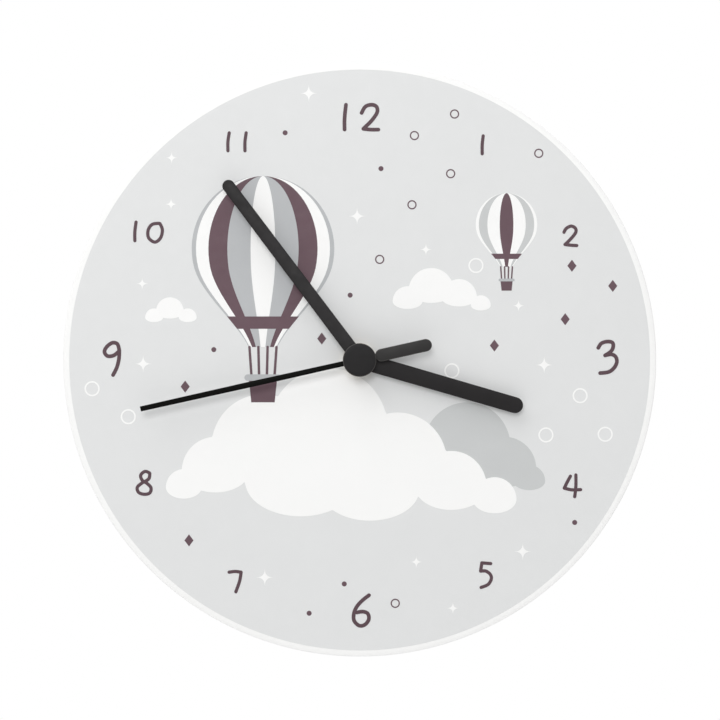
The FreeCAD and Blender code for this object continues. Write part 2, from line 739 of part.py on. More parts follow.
def build_motion_work():
    """Cannon pinion, minute wheel, hour wheel and the friction clutch."""
    tube_bore = "Sizes.seconds_arbor_diameter + 2 * Sizes.running_fit"
    cannon_back = pinion_back(4)
    teeth = "Sizes.cannon_teeth"
    pinion = (cannon_back, PINION_THICK, teeth, cannon_module, tooth_facing(RIGHT, teeth))
    body = gear("cannon_pinion", centre_place, *pinion)
    clutch_back = "(%s - Sizes.running_fit - Sizes.clutch_thick)" % level(3)
    back = "%s - %s" % (clutch_back, cannon_back)
    front = "(%s - %s)" % (minute_tube_front, cannon_back)
    pad_circle(body, "Sizes.minute_tube_diameter", back, front)
    cut_circle(body, tube_bore, back + " - Sizes.overrun", front + " + Sizes.overrun")
    spring = new_piece("clutch_spring", depth=clutch_back)
    sketch = new_sketch(spring)
    corners = []
    for step in range(6):
        reach = "Sizes.clutch_diameter / 2" + (" * Sizes.clutch_waist_share" if step % 2 else "")
        corner = reach + " * %s(" + "%d deg)" % (60 * step)
        corners.append((corner % "cos", corner % "sin"))
    add_outline(sketch, corners)
    add_circle(sketch, "Sizes.minute_tube_diameter + 2 * Sizes.push_fit")
    pad(spring, sketch, "Sizes.clutch_thick")
    x, z = minute_wheel_place
    body = new_piece("minute_wheel", x=x, depth=level(4), z=z, angle="%d" % LEFT)
    pinion_thick = "(Sizes.level_step + Sizes.pinion_proud)"
    add_gear(body, "Sizes.wheel_thick", pinion_thick, "Sizes.minute_pinion_teeth", hour_module)
    add_gear(body, "0", "Sizes.wheel_thick", "Sizes.minute_wheel_teeth", cannon_module)
    stud_hole = "Sizes.stud_diameter + 2 * Sizes.running_fit"
    through = "Sizes.wheel_thick + %s + Sizes.overrun" % pinion_thick
    cut_circle(body, stud_hole, "-Sizes.overrun", through)
    teeth = "Sizes.hour_wheel_teeth"
    tube_bore = "Sizes.minute_tube_diameter + 2 * Sizes.running_fit"
    wheel = ("Sizes.wheel_thick", teeth, hour_module, tooth_facing(RIGHT, teeth))
    body = gear("hour_wheel", centre_place, level(5), *wheel)
    collar_front = "(%s - Sizes.running_fit - %s)" % (front_inner, level(5))
    pad_circle(body, "Sizes.hour_collar_diameter", "0", collar_front)
    tube_front = "(%s - %s)" % (hour_tube_front, level(5))
    pad_circle(body, "Sizes.hour_tube_diameter", "0", tube_front)
    cut_circle(body, tube_bore, "-Sizes.overrun", tube_front + " + Sizes.overrun")


def build_knob():
    """Setting knob in its well, with its stem and the pinion that turns the minute wheel."""
    x, z = knob_place
    teeth = "Sizes.cannon_teeth"
    facing = tooth_facing(LEFT, teeth)
    knob = new_piece("setting_knob", x=x, depth="Sizes.knob_back", z=z, angle=facing)
    pad_circle(knob, "Sizes.knob_diameter", "0", "Sizes.knob_thick")
    sketch = new_sketch(knob, "-Sizes.overrun")
    notch_root = "(Sizes.knob_diameter / 2 - Sizes.knob_notch_depth)"
    notch_mouth = "(Sizes.knob_diameter / 2 + Sizes.knob_notch_depth)"
    corners = [
        (notch_root, "0"),
        (notch_mouth, "-Sizes.knob_notch_width"),
        (notch_mouth, "Sizes.knob_notch_width"),
    ]
    add_outline(sketch, corners)
    notch = cut(knob, sketch, "Sizes.knob_thick + 2 * Sizes.overrun")
    turn_copies(knob, notch, "Sizes.knob_notch_count")
    stem_front = "(%s - Sizes.knob_back)" % pinion_back(4)
    pad_circle(knob, "Sizes.knob_stem_diameter", "0", stem_front)
    add_gear(knob, stem_front, PINION_THICK, teeth, cannon_module)
    front = "(%s + Sizes.pivot_depth - Sizes.knob_back)" % front_inner
    pad_circle(knob, "Sizes.thin_arbor_diameter", stem_front, front)


def build_motor():
    """Stepping motor: magnet, stator, core, bobbin and winding."""
    stator_front = "(Sizes.stator_back + Sizes.stator_thick)"
    side = "(Sizes.magnet_length - Sizes.stator_thick) / 2"
    magnet_depth = "Sizes.stator_back - " + side
    magnet = new_piece("rotor_magnet", depth=magnet_depth, z=rotor_z)
    sketch = new_sketch(magnet)
    add_circle(sketch, "Sizes.magnet_diameter")
    add_circle(sketch, "Sizes.thin_arbor_diameter + 2 * Sizes.push_fit")
    pad(magnet, sketch, "Sizes.magnet_length")
    stator = new_piece("stator", depth="Sizes.stator_back", z=rotor_z)
    sketch = new_sketch(stator)
    outer = arm_outer
    inner = arm_inner
    ring_half = "(Sizes.stator_ring_width / 2)"
    high = "(%s + Sizes.core_width / 2 - %s)" % (coil_z, rotor_z)
    shoulder = "(%s - Sizes.arm_width / 2)" % ring_half
    corners = [
        ("-" + ring_half, "-%s / 2" % ring_half),
        ("-%s / 2" % ring_half, "-" + ring_half),
        ("%s / 2" % ring_half, "-" + ring_half),
        (ring_half, "-%s / 2" % ring_half),
        (outer, shoulder),
        (outer, high),
        (inner, high),
        (inner, ring_half),
        ("-" + inner, ring_half),
        ("-" + inner, high),
        ("-" + outer, high),
        ("-" + outer, shoulder),
    ]
    add_outline(sketch, corners)
    pad(stator, sketch, "Sizes.stator_thick")
    air_hole = "Sizes.magnet_diameter + 2 * Sizes.stator_air_gap"
    cut_circle(stator, air_hole, "-Sizes.overrun", "Sizes.stator_thick + Sizes.overrun")
    core = new_piece("coil_core", depth=stator_front, z=coil_z)
    half_core = "Sizes.core_width / 2"
    pad_box(core, ("-" + outer, outer, "-" + half_core, half_core), "0", "Sizes.core_thick")
    build_coil(stator_front + " + Sizes.core_thick / 2")


def build_coil(depth):
    """Flanged bobbin and its winding, both on the core's axis."""
    half_coil = "Sizes.coil_length / 2"
    bobbin = new_piece("coil_bobbin", x="-" + half_coil, depth=depth, z=coil_z)
    far_flange = "Sizes.coil_length - Sizes.coil_flange_thick"
    for start, length, width in (
        ("0", "Sizes.coil_length", "Sizes.coil_barrel_width"),
        ("0", "Sizes.coil_flange_thick", "Sizes.coil_flange_width"),
        (far_flange, "Sizes.coil_flange_thick", "Sizes.coil_flange_width"),
    ):
        sketch = new_sketch(bobbin, start, "YZ_Plane")
        half_width = width + " / 2"
        add_box(sketch, "-" + half_width, half_width, "-" + half_width, half_width)
        pad(bobbin, sketch, length)
    sketch = new_sketch(bobbin, "-Sizes.overrun", "YZ_Plane")
    half_thick = "(Sizes.core_thick / 2 + Sizes.push_fit)"
    half_wide = "(Sizes.core_width / 2 + Sizes.push_fit)"
    add_box(sketch, "-" + half_thick, half_thick, "-" + half_wide, half_wide)
    cut(bobbin, sketch, "Sizes.coil_length + 2 * Sizes.overrun")
    winding_x = "Sizes.coil_flange_thick + Sizes.push_fit - " + half_coil
    winding = new_piece("coil_winding", x=winding_x, depth=depth, z=coil_z)
    sketch = new_sketch(winding, "0", "YZ_Plane")
    add_circle(sketch, "Sizes.coil_winding_diameter")
    half_bore = "(Sizes.coil_barrel_width / 2 + Sizes.push_fit)"
    add_box(sketch, "-" + half_bore, half_bore, "-" + half_bore, half_bore)
    pad(winding, sketch, "Sizes.coil_length - 2 * Sizes.coil_flange_thick - 2 * Sizes.push_fit")


def build_board():
    """Circuit board with its sealed chip and the quartz crystal can."""
    board = new_piece("circuit_board", depth="Sizes.board_depth")
    box = (board_left, board_right, board_low, board_high)
    pad_box(board, box, "0", "Sizes.board_thick")
    middle = "((%s + %s) / 2)" % (board_left, board_right)
    half_chip = "Sizes.chip_width / 2"
    chip_z = "(%s - Sizes.chip_width)" % board_high
    chip = new_piece("chip_blob", x=middle, depth="Sizes.board_depth - Sizes.chip_height", z=chip_z)
    box = ("-" + half_chip, half_chip, "-" + half_chip, half_chip)
    drop = pad_box(chip, box, "0", "Sizes.chip_height")
    ease_edges(chip, drop, "Chamfer", "Sizes.chip_bevel", is_back_edge)
    crystal_x = middle + " - Sizes.crystal_length / 2"
    crystal_depth = "Sizes.board_depth - Sizes.crystal_diameter / 2"
    crystal_z = chip_z + " - Sizes.chip_width / 2 - Sizes.crystal_diameter"
    crystal = new_piece("quartz_crystal", x=crystal_x, depth=crystal_depth, z=crystal_z)
    sketch = new_sketch(crystal, "0", "YZ_Plane")
    add_circle(sketch, "Sizes.crystal_diameter")
    pad(crystal, sketch, "Sizes.crystal_length")


def build_contacts():
    """Positive plate and sprung negative leaf, each with a strip to the board."""
    outer = "(%s - Sizes.contact_seat)" % inner_half
    inner = "(%s - Sizes.contact_thick)" % outer
    low = "(%s - Sizes.contact_height / 2)" % cell_z
    high = "(%s + Sizes.contact_height / 2)" % cell_z
    back = "(%s - Sizes.contact_depth / 2)" % cell_depth
    front = "(%s + Sizes.contact_depth / 2)" % cell_depth
    tab_low = "(%s + Sizes.contact_thick)" % board_low
    tab_high = "(%s + Sizes.strip_width)" % tab_low
    positive = new_piece("positive_contact")
    pad_box(positive, ("-" + outer, "-" + inner, low, high), back, front)
    strip_front = "(%s + Sizes.strip_width)" % board_front
    strip_root = high + " - Sizes.overrun"
    pad_box(positive, ("-" + outer, "-" + inner, strip_root, tab_high), board_front, strip_front)
    tab_right = "(%s + Sizes.strip_width)" % board_left
    tab = ("-" + outer, tab_right, tab_low, tab_high)
    pad_box(positive, tab, board_front, board_front + " + Sizes.contact_thick")
    negative = new_piece("negative_contact")
    pad_box(negative, (inner, outer, low, high), back, front)
    strip_back = "Sizes.strip_back"
    strip_front = "(Sizes.strip_back + Sizes.strip_width)"
    run_high = "(%s + Sizes.contact_thick)" % rib_top
    run_left = "(%s + Sizes.contact_run_inset)" % board_left
    pad_box(negative, (inner, outer, strip_root, run_high), strip_back, strip_front)
    pad_box(negative, (run_left, outer, rib_top, run_high), strip_back, strip_front)
    riser = (run_left, run_left + " + Sizes.contact_thick", rib_top, tab_high)
    pad_box(negative, riser, strip_back, strip_front)
    tab = (run_left, run_left + " + Sizes.contact_thick", tab_low, tab_high)
    pad_box(negative, tab, strip_back, "Sizes.board_depth")
    sketch = new_sketch(negative, back)
    crest = "(%s - Sizes.leaf_rise)" % inner
    flat_low = "(%s - Sizes.leaf_flat / 2)" % cell_z
    flat_high = "(%s + Sizes.leaf_flat / 2)" % cell_z
    corners = [
        (inner, low + " + Sizes.contact_thick"),
        (crest, flat_low),
        (crest, flat_high),
        (inner, high + " - Sizes.contact_thick"),
        (inner + " + Sizes.push_fit", high + " - 2 * Sizes.contact_thick"),
        (crest + " + Sizes.contact_thick", flat_high + " - Sizes.push_fit"),
        (crest + " + Sizes.contact_thick", flat_low + " + Sizes.push_fit"),
        (inner + " + Sizes.push_fit", low + " + 2 * Sizes.contact_thick"),
    ]
    add_outline(sketch, corners)
    pad(negative, sketch, "Sizes.contact_depth")


def build_battery():
    """Cylindrical cell with its nub at the positive end."""
    cell_left = "(Sizes.contact_thick + 2 * Sizes.contact_seat - %s)" % inner_half
    cell = new_piece("battery_cell", x=cell_left, depth=cell_depth, z=cell_z)
    for start, length, diameter in (
        ("0", "Sizes.nub_length + Sizes.overrun", "Sizes.nub_diameter"),
        ("Sizes.nub_length", "Sizes.cell_length - Sizes.nub_length", "Sizes.cell_diameter"),
    ):
        sketch = new_sketch(cell, start, "YZ_Plane")
        add_circle(sketch, diameter)
        pad(cell, sketch, length)


def build_hanger():
    """Bent steel hanger on top of the case with a round hole for a wall hook."""
    body = new_piece("hanger", z=case_top)
    half_wide = "Sizes.hanger_width / 2"
    foot = ("-" + half_wide, half_wide, "0", "Sizes.hanger_thick")
    pad_box(body, foot, "0", "Sizes.hanger_foot")
    hole_z = "(Sizes.hanger_hole_rise + Sizes.hanger_hole_diameter / 2)"
    upright = ("-" + half_wide, half_wide, "0", hole_z)
    pad_box(body, upright, "0", "Sizes.hanger_thick")
    pad_circle(body, "Sizes.hanger_width", "0", "Sizes.hanger_thick", "0", hole_z)
    front = "Sizes.hanger_thick + Sizes.overrun"
    cut_circle(body, "Sizes.hanger_hole_diameter", "-Sizes.overrun", front, "0", hole_z)


def build_straight_hand(label, depth, angle, length, width, tip_width, bore):
    """A slightly tapered hand with a round end and a round root."""
    body = new_piece(label, depth=depth, angle=angle)
    pad_circle(body, "Sizes.hand_root_diameter", "0", "Sizes.hand_thick")
    sketch = new_sketch(body)
    tip_z = "(%s - %s / 2)" % (length, tip_width)
    corners = [
        ("-%s / 2" % width, "0"),
        ("%s / 2" % width, "0"),
        ("%s / 2" % tip_width, tip_z),
        ("-%s / 2" % tip_width, tip_z),
    ]
    add_outline(sketch, corners)
    pad(body, sketch, "Sizes.hand_thick")
    pad_circle(body, tip_width, "0", "Sizes.hand_thick", "0", tip_z)
    cut_circle(body, bore, "-Sizes.overrun", "Sizes.hand_thick + Sizes.overrun")


def build_second_hand():
    """Thin second hand with its round hub, balanced by a wide rounded tail."""
    body = new_piece("second_hand", depth=second_hub_back, angle="Sizes.second_hand_angle")
    hub = pad_circle(body, "Sizes.second_hub_diameter", "0", "Sizes.second_hub_thick")
    wanted = outer_circle_at(SIZES["second_hub_thick"], SIZES["second_hub_diameter"])
    ease_edges(body, hub, "Chamfer", "Sizes.second_hub_bevel", wanted)
    sketch = new_sketch(body, "Sizes.second_arm_set")
    middle = "(Sizes.second_hand_length / 2)"
    corners = [
        ("-Sizes.second_arm_root_width / 2", "0"),
        ("Sizes.second_arm_root_width / 2", "0"),
        ("Sizes.second_arm_middle_width / 2", middle),
        ("Sizes.second_arm_tip_width / 2", "Sizes.second_hand_length"),
        ("-Sizes.second_arm_tip_width / 2", "Sizes.second_hand_length"),
        ("-Sizes.second_arm_middle_width / 2", middle),
    ]
    add_outline(sketch, corners)
    pad(body, sketch, "Sizes.second_arm_thick")
    half_root = "Sizes.second_arm_root_width / 2"
    half_tail = "Sizes.tail_width / 2"
    tail_far = "(Sizes.tail_length - Sizes.tail_width / 2)"
    arm_front = "(Sizes.second_arm_set + Sizes.second_arm_thick)"
    neck = ("-" + half_root, half_root, "-Sizes.tail_start", "0")
    pad_box(body, neck, "Sizes.second_arm_set", arm_front)
    weight = ("-" + half_tail, half_tail, "-" + tail_far, "-Sizes.tail_start")
    pad_box(body, weight, "Sizes.second_arm_set", arm_front)
    for z in ("-Sizes.tail_start", "-" + tail_far):
        pad_circle(body, "Sizes.tail_width", "Sizes.second_arm_set", arm_front, "0", z)
    cut_circle(body, "Sizes.pipe_diameter + 2 * Sizes.push_fit", "-Sizes.overrun", "Sizes.pipe_sink")
    pipe_bore = "Sizes.seconds_arbor_diameter + 2 * Sizes.push_fit"
    pipe_depth = "(%s - Sizes.pipe_proud)" % second_hub_back
    pipe_length = "Sizes.pipe_proud + Sizes.pipe_sink - Sizes.push_fit"
    ring("second_pipe", pipe_depth, pipe_length, "Sizes.pipe_diameter", pipe_bore)


def build_hands():
    """Hour, minute and second hands at their places on the tubes."""
    hour_bore = "Sizes.hour_tube_diameter + 2 * Sizes.push_fit"
    hour = ("Sizes.hour_hand_angle", "Sizes.hour_hand_length", "Sizes.hour_hand_width",
            "Sizes.hour_hand_tip_width", hour_bore)
    build_straight_hand("hour_hand", hour_hand_back, *hour)
    minute_bore = "Sizes.minute_tube_diameter + 2 * Sizes.push_fit"
    minute = ("Sizes.minute_hand_angle", "Sizes.minute_hand_length", "Sizes.minute_hand_width",
              "Sizes.minute_hand_tip_width", minute_bore)
    build_straight_hand("minute_hand", minute_hand_back, *minute)
    build_second_hand()


def check_pieces():
    """Stop before anything is written if an object failed or a shape is bad."""
    for item in doc.Objects:
        if "Invalid" in item.State or "Error" in item.State:
            raise RuntimeError("%s is %s" % (item.Name, item.State))
    for piece in PIECES:
        if piece.Shape.isNull() or not piece.Shape.isValid():
            raise RuntimeError("%s has a bad shape" % piece.Label)


def write_pieces():
    """Write each piece to its own file."""
    os.makedirs("parts", exist_ok=True)
    for piece in PIECES:
        piece.Shape.exportStep("parts/%s.step" % piece.Label)


build_panel()
build_centre_fixing()
build_front_case()
build_rear_cover()
build_bridge()
build_time_train()
build_motion_work()
build_knob()
build_motor()
build_board()
build_contacts()
build_battery()
build_hanger()
build_hands()
doc.recompute()
check_pieces()
write_pieces()
for piece in PIECES:
    box = piece.Shape.BoundBox
    spans = (box.XLength, box.YLength, box.ZLength)
    print("%s: %d solid, %.1f x %.1f x %.1f mm" % ((piece.Label, len(piece.Shape.Solids)) + spans))
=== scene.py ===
import math

import bpy
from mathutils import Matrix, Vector


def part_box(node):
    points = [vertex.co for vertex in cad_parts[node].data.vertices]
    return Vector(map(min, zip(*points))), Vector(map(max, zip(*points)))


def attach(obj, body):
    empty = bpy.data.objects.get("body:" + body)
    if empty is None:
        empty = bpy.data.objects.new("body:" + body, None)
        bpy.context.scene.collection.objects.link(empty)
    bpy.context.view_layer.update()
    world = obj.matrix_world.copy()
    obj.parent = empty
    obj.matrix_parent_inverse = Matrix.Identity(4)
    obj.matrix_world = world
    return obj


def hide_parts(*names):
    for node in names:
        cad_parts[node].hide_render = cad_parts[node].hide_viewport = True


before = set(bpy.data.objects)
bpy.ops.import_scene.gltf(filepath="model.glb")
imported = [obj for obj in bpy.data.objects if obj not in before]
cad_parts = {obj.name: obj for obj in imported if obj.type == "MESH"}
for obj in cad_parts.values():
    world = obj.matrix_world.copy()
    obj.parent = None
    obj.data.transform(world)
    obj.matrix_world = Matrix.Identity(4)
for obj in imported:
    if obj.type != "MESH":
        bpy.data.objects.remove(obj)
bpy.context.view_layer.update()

# Lengths are in millimetres, or in the photograph's pixels or in metres where a comment says so.
# Named angles are in degrees, and a depth is measured forwards from the wall.

MM = 0.001
PIXEL_ACROSS = 0.33375
PIXEL_UP = 0.34066
CENTRE_PIXEL = (359.6, 360.05)

DIAL_FRONT = -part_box("dial_panel")[0].y / MM
DIAL_BACK = -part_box("dial_panel")[1].y / MM


# Materials

NOISE_LOW_SHARE = 0.3
NOISE_HIGH_SHARE = 0.7
SMOOTHEST_SHARE = 0.9
ROUGHEST_SHARE = 1.12
PATCH_DETAIL = 5.0
GLOSS_DETAIL = 3.0
GRAIN_DETAIL = 6.0
GLOSS_SHRINK = 3
EDGE_GLOSS_PATCH = 2.0
EDGE_GRAIN = 0.12
EDGE_GRAIN_DEPTH = 0.004


def new_material(name, colour, rough, specular=0.5, metallic=0.0):
    """Start a material; the returned set holds it, its nodes, links, shader and coordinates."""
    material = bpy.data.materials.new(name)
    material.use_nodes = True
    nodes = material.node_tree.nodes
    links = material.node_tree.links
    shader = nodes["Principled BSDF"]
    shader.inputs["Base Color"].default_value = (*colour, 1)
    shader.inputs["Roughness"].default_value = rough
    shader.inputs["Specular IOR Level"].default_value = specular
    shader.inputs["Metallic"].default_value = metallic
    place = nodes.new("ShaderNodeTexCoord")
    return material, nodes, links, shader, place


def add_noise(nodes, links, place, size, detail, stretch=(1, 1, 1)):
    """Noise whose grains are about the given size."""
    mapping = nodes.new("ShaderNodeMapping")
    mapping.inputs["Scale"].default_value = stretch
    links.new(place.outputs["Object"], mapping.inputs["Vector"])
    noise = nodes.new("ShaderNodeTexNoise")
    noise.inputs["Scale"].default_value = 1 / (size * MM)
    noise.inputs["Detail"].default_value = detail
    links.new(mapping.outputs["Vector"], noise.inputs["Vector"])
    return noise.outputs["Fac"]


def vary_colour(nodes, links, shader, factor, dark, light):
    """Blend the base colour between two shades by a factor."""
    ramp = nodes.new("ShaderNodeValToRGB")
    ramp.color_ramp.elements[0].position = NOISE_LOW_SHARE
    ramp.color_ramp.elements[0].color = (*dark, 1)
    ramp.color_ramp.elements[1].position = NOISE_HIGH_SHARE
    ramp.color_ramp.elements[1].color = (*light, 1)
    links.new(factor, ramp.inputs["Fac"])
    links.new(ramp.outputs["Color"], shader.inputs["Base Color"])


def vary_roughness(nodes, links, shader, factor, low, high):
    """Spread the roughness between two values by a factor."""
    spread = nodes.new("ShaderNodeMapRange")
    spread.inputs["From Min"].default_value = NOISE_LOW_SHARE
    spread.inputs["From Max"].default_value = NOISE_HIGH_SHARE
    spread.inputs["To Min"].default_value = low
    spread.inputs["To Max"].default_value = high
    links.new(factor, spread.inputs["Value"])
    links.new(spread.outputs["Result"], shader.inputs["Roughness"])


def add_bump(nodes, links, shader, height, depth):
    """Raise the surface by a height pattern of the given depth."""
    bump = nodes.new("ShaderNodeBump")
    bump.inputs["Strength"].default_value = 1
    bump.inputs["Distance"].default_value = depth * MM
    links.new(height, bump.inputs["Height"])
    links.new(bump.outputs["Normal"], shader.inputs["Normal"])


def add_surface(made, rough, gloss_patch, grain, depth, stretch=(1, 1, 1)):
    """Give a started material an uneven gloss and a fine grain."""
    nodes, links, shader, place = made[1:]
    gloss = add_noise(nodes, links, place, gloss_patch, GLOSS_DETAIL, stretch)
    vary_roughness(nodes, links, shader, gloss, rough * SMOOTHEST_SHARE, rough * ROUGHEST_SHARE)
    grains = add_noise(nodes, links, place, grain, GRAIN_DETAIL, stretch)
    add_bump(nodes, links, shader, grains, depth)


def shade(colour, factor):
    """The same colour, lighter or darker."""
    return tuple(min(1.0, channel * factor) for channel in colour)


def plain_finish(name, colour, rough, specular=0.5, metallic=0.0, grain=0.4, depth=0.004,
                 spread=0.03, patch=9.0, stretch=(1, 1, 1)):
    """A finish with faint patches of shade, uneven gloss and a fine grain."""
    made = new_material(name, colour, rough, specular, metallic)
    material, nodes, links, shader, place = made
    patches = add_noise(nodes, links, place, patch, PATCH_DETAIL, stretch)
    vary_colour(nodes, links, shader, patches, shade(colour, 1 - spread), shade(colour, 1 + spread))
    add_surface(made, rough, patch / GLOSS_SHRINK, grain, depth, stretch)
    return material


# How far a surface faces forwards: a side below the first stop, a bevel between, which gets the painted
# highlight, a face past the last
SIDE_STOP_SHARE = 0.2
BEVEL_HIGHLIGHT_STOP_SHARES = (0.45, 0.93)
FACE_STOP_SHARE = 0.99


def bevel_highlight_finish(name, colour, bevel_highlight, rough, specular):
    """A satin finish with a painted highlight on its bevelled edges, which face neither forwards nor
    sideways.
    """
    made = new_material(name, colour, rough, specular)
    material, nodes, links, shader = made[:4]
    geometry = nodes.new("ShaderNodeNewGeometry")
    parts = nodes.new("ShaderNodeSeparateXYZ")
    links.new(geometry.outputs["Normal"], parts.inputs["Vector"])
    facing = nodes.new("ShaderNodeMath")
    facing.operation = "ABSOLUTE"
    links.new(parts.outputs["Y"], facing.inputs[0])
    ramp = nodes.new("ShaderNodeValToRGB")
    ramp.color_ramp.elements[0].position = SIDE_STOP_SHARE
    ramp.color_ramp.elements[0].color = (*colour, 1)
    ramp.color_ramp.elements[1].position = FACE_STOP_SHARE
    ramp.color_ramp.elements[1].color = (*colour, 1)
    # The bevel stops take the lighter colour, a painted highlight where the rim would catch the light
    for position in BEVEL_HIGHLIGHT_STOP_SHARES:
        stop = ramp.color_ramp.elements.new(position)
        stop.color = (*bevel_highlight, 1)
    links.new(facing.outputs["Value"], ramp.inputs["Fac"])
    links.new(ramp.outputs["Color"], shader.inputs["Base Color"])
    add_surface(made, rough, EDGE_GLOSS_PATCH, EDGE_GRAIN, EDGE_GRAIN_DEPTH)
    return material


WIRE_PITCH = 2.2
WIRE_DISTORTION = 0.6
WIRE_DEPTH = 0.04
# Painted shade for the grooves between turns, and painted highlight for their crowns
WIRE_GROOVE_SHADE = (0.34, 0.12, 0.05)
WIRE_CROWN_HIGHLIGHT = (0.68, 0.3, 0.13)


def wire_finish(name, colour, rough, metallic):
    """Enamelled copper wire wound side by side along x, darker in the grooves between turns as painted
    shade and lighter on their crowns as painted highlight.
    """
    made = new_material(name, colour, rough, metallic=metallic)
    material, nodes, links, shader, place = made
    wave = nodes.new("ShaderNodeTexWave")
    wave.bands_direction = "X"
    wave.inputs["Scale"].default_value = 1 / (WIRE_PITCH * MM)
    wave.inputs["Distortion"].default_value = WIRE_DISTORTION
    links.new(place.outputs["Object"], wave.inputs["Vector"])
    # The bands follow the bump: painted shade in the grooves, painted highlight on the crowns
    vary_colour(nodes, links, shader, wave.outputs["Fac"], WIRE_GROOVE_SHADE, WIRE_CROWN_HIGHLIGHT)
    add_bump(nodes, links, shader, wave.outputs["Fac"], WIRE_DEPTH)
    return material


def from_screen(red, green, blue):
    """Linear colour for a colour given as it shows on a screen, from 0 to 255."""
    linear = []
    for channel in (red, green, blue):
        value = channel / 255
        linear.append(value / 12.92 if value <= 0.04045 else ((value + 0.055) / 1.055) ** 2.4)
    return tuple(linear)


PLAIN_FINISHES = {
    "board_white": dict(colour=from_screen(248, 248, 247), rough=0.42, grain=0.5, depth=0.003,
                        spread=0.006),
    "field_print": dict(colour=from_screen(226, 227, 227), rough=0.5, specular=0.35, grain=0.35,
                        depth=0.002, spread=0.006),
    "hand_satin": dict(colour=(0.0125, 0.0112, 0.0118), rough=0.45, specular=0.16, grain=0.12,
                       spread=0.12, patch=6.0),
    "hand_fine": dict(colour=(0.0035, 0.0035, 0.003), rough=0.45, specular=0.04, grain=0.12,
                      depth=0.003, spread=0.12, patch=6.0),
    "moulded_black": dict(colour=(0.013, 0.013, 0.014), rough=0.46, grain=0.18, depth=0.02,
                          spread=0.12, patch=14.0),
    "knob_black": dict(colour=(0.03, 0.03, 0.031), rough=0.36, grain=0.2, depth=0.01, spread=0.1),
    "turned_brass": dict(colour=(0.6, 0.49, 0.31), rough=0.28, metallic=1.0, grain=0.25, spread=0.08,
                         patch=3.0, stretch=(0.25, 1, 0.25)),
    "black_rubber": dict(colour=(0.02, 0.02, 0.02), rough=0.75, specular=0.3, grain=0.35, depth=0.03,
                         spread=0.15),
    "bright_steel": dict(colour=(0.55, 0.56, 0.57), rough=0.3, metallic=1.0, grain=0.2, depth=0.003,
                         spread=0.06, patch=5.0, stretch=(1, 1, 0.12)),
    "zinc_steel": dict(colour=(0.58, 0.6, 0.62), rough=0.36, metallic=1.0, grain=0.6, depth=0.006,
                       spread=0.12, patch=2.2),
    "pale_nylon": dict(colour=(0.8, 0.79, 0.74), rough=0.4, grain=0.5),
    "dark_magnet": dict(colour=(0.05, 0.05, 0.055), rough=0.5, metallic=0.6, grain=0.2, depth=0.01,
                        spread=0.2, patch=1.5),
    "green_laminate": dict(colour=(0.03, 0.16, 0.06), rough=0.35, grain=0.5, depth=0.006, spread=0.15,
                           patch=2.0),
    "epoxy_drop": dict(colour=(0.01, 0.01, 0.01), rough=0.22, grain=0.8, depth=0.006, spread=0.2),
    "cell_sleeve": dict(colour=(0.055, 0.075, 0.095), rough=0.28, grain=0.7, depth=0.003, spread=0.05),
    "cell_band": dict(colour=(0.5, 0.51, 0.52), rough=0.3, metallic=0.4, grain=0.7, depth=0.003),
    "floor_pale": dict(colour=(0.86, 0.86, 0.86), rough=0.8, specular=0.2, grain=4.0, depth=0.01,
                       spread=0.01, patch=300.0),
}
# Satin blacks whose lighter edge colour is a painted highlight on the rounded rims of the hub and the tail
BEVEL_HIGHLIGHT_FINISHES = {
    "hub_satin_painted_highlight": dict(colour=(0.0092, 0.0085, 0.009), bevel_highlight=(0.058, 0.055, 0.053), rough=0.45,
                      specular=0.15),
    "tail_satin_painted_highlight": dict(colour=(0.0195, 0.0185, 0.018), bevel_highlight=(0.07, 0.067, 0.064), rough=0.45,
                       specular=0.2),
}
INKS = {
    "ink_white": dict(colour=from_screen(250, 250, 249), spread=0.005),
    "ink_grey": dict(colour=from_screen(184, 186, 188), spread=0.012),
    "ink_pale": dict(colour=from_screen(201, 203, 203), spread=0.012),
    "ink_dark": dict(colour=from_screen(84, 63, 70), spread=0.04),
    "ink_plum": dict(colour=from_screen(98, 75, 83), spread=0.04),
}
INK_SURFACE = dict(rough=0.5, specular=0.3, grain=0.3, depth=0.002)

finishes = {name: plain_finish(name, **values) for name, values in PLAIN_FINISHES.items()}
finishes.update((name, bevel_highlight_finish(name, **values)) for name, values in BEVEL_HIGHLIGHT_FINISHES.items())
finishes.update((name, plain_finish(name, **values, **INK_SURFACE)) for name, values in INKS.items())
finishes["copper_wire_painted_shading"] = wire_finish("copper_wire_painted_shading", colour=(0.6, 0.25, 0.1), rough=0.32, metallic=0.9)


# Mesh helpers

LINE_PARTS = 8
ROUND_END_PARTS = 8
EDGE_PARTS = 4
LEAST_CORNER_SQUARE = 0.6
CROSSING_RISE = 0.006
BOARD_SMOOTH = 2.5
FLAT_SMOOTH = 30.0
USUAL_SMOOTH = 35.0
ROUND_SMOOTH = 40.0
HUB_SMOOTH = 50.0


class Shape:
    """Points and faces of a piece that is built from several closed parts."""

    def __init__(self):
        self.points = []
        self.faces = []

    def add(self, points, faces):
        """Add one closed part. Points are x, depth and z."""
        start = len(self.points)
        self.points.extend(points)
        for face in faces:
            self.faces.append([start + index for index in face])

    def make(self, name, finish, body, slot, smooth=USUAL_SMOOTH):
        """Turn the parts into one mesh piece that rides on a body."""
        mesh = bpy.data.meshes.new(name)
        placed = [(x * MM, -depth * MM, z * MM) for x, depth, z in self.points]
        mesh.from_pydata(placed, [], self.faces)
        mesh.update()
        mesh.materials.append(finishes[finish])
        mesh.polygons.foreach_set("use_smooth", [True] * len(mesh.polygons))
        mesh.set_sharp_from_angle(angle=math.radians(smooth))
        piece = bpy.data.objects.new(name, mesh)
        bpy.context.scene.collection.objects.link(piece)
        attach(piece, body)
        return piece


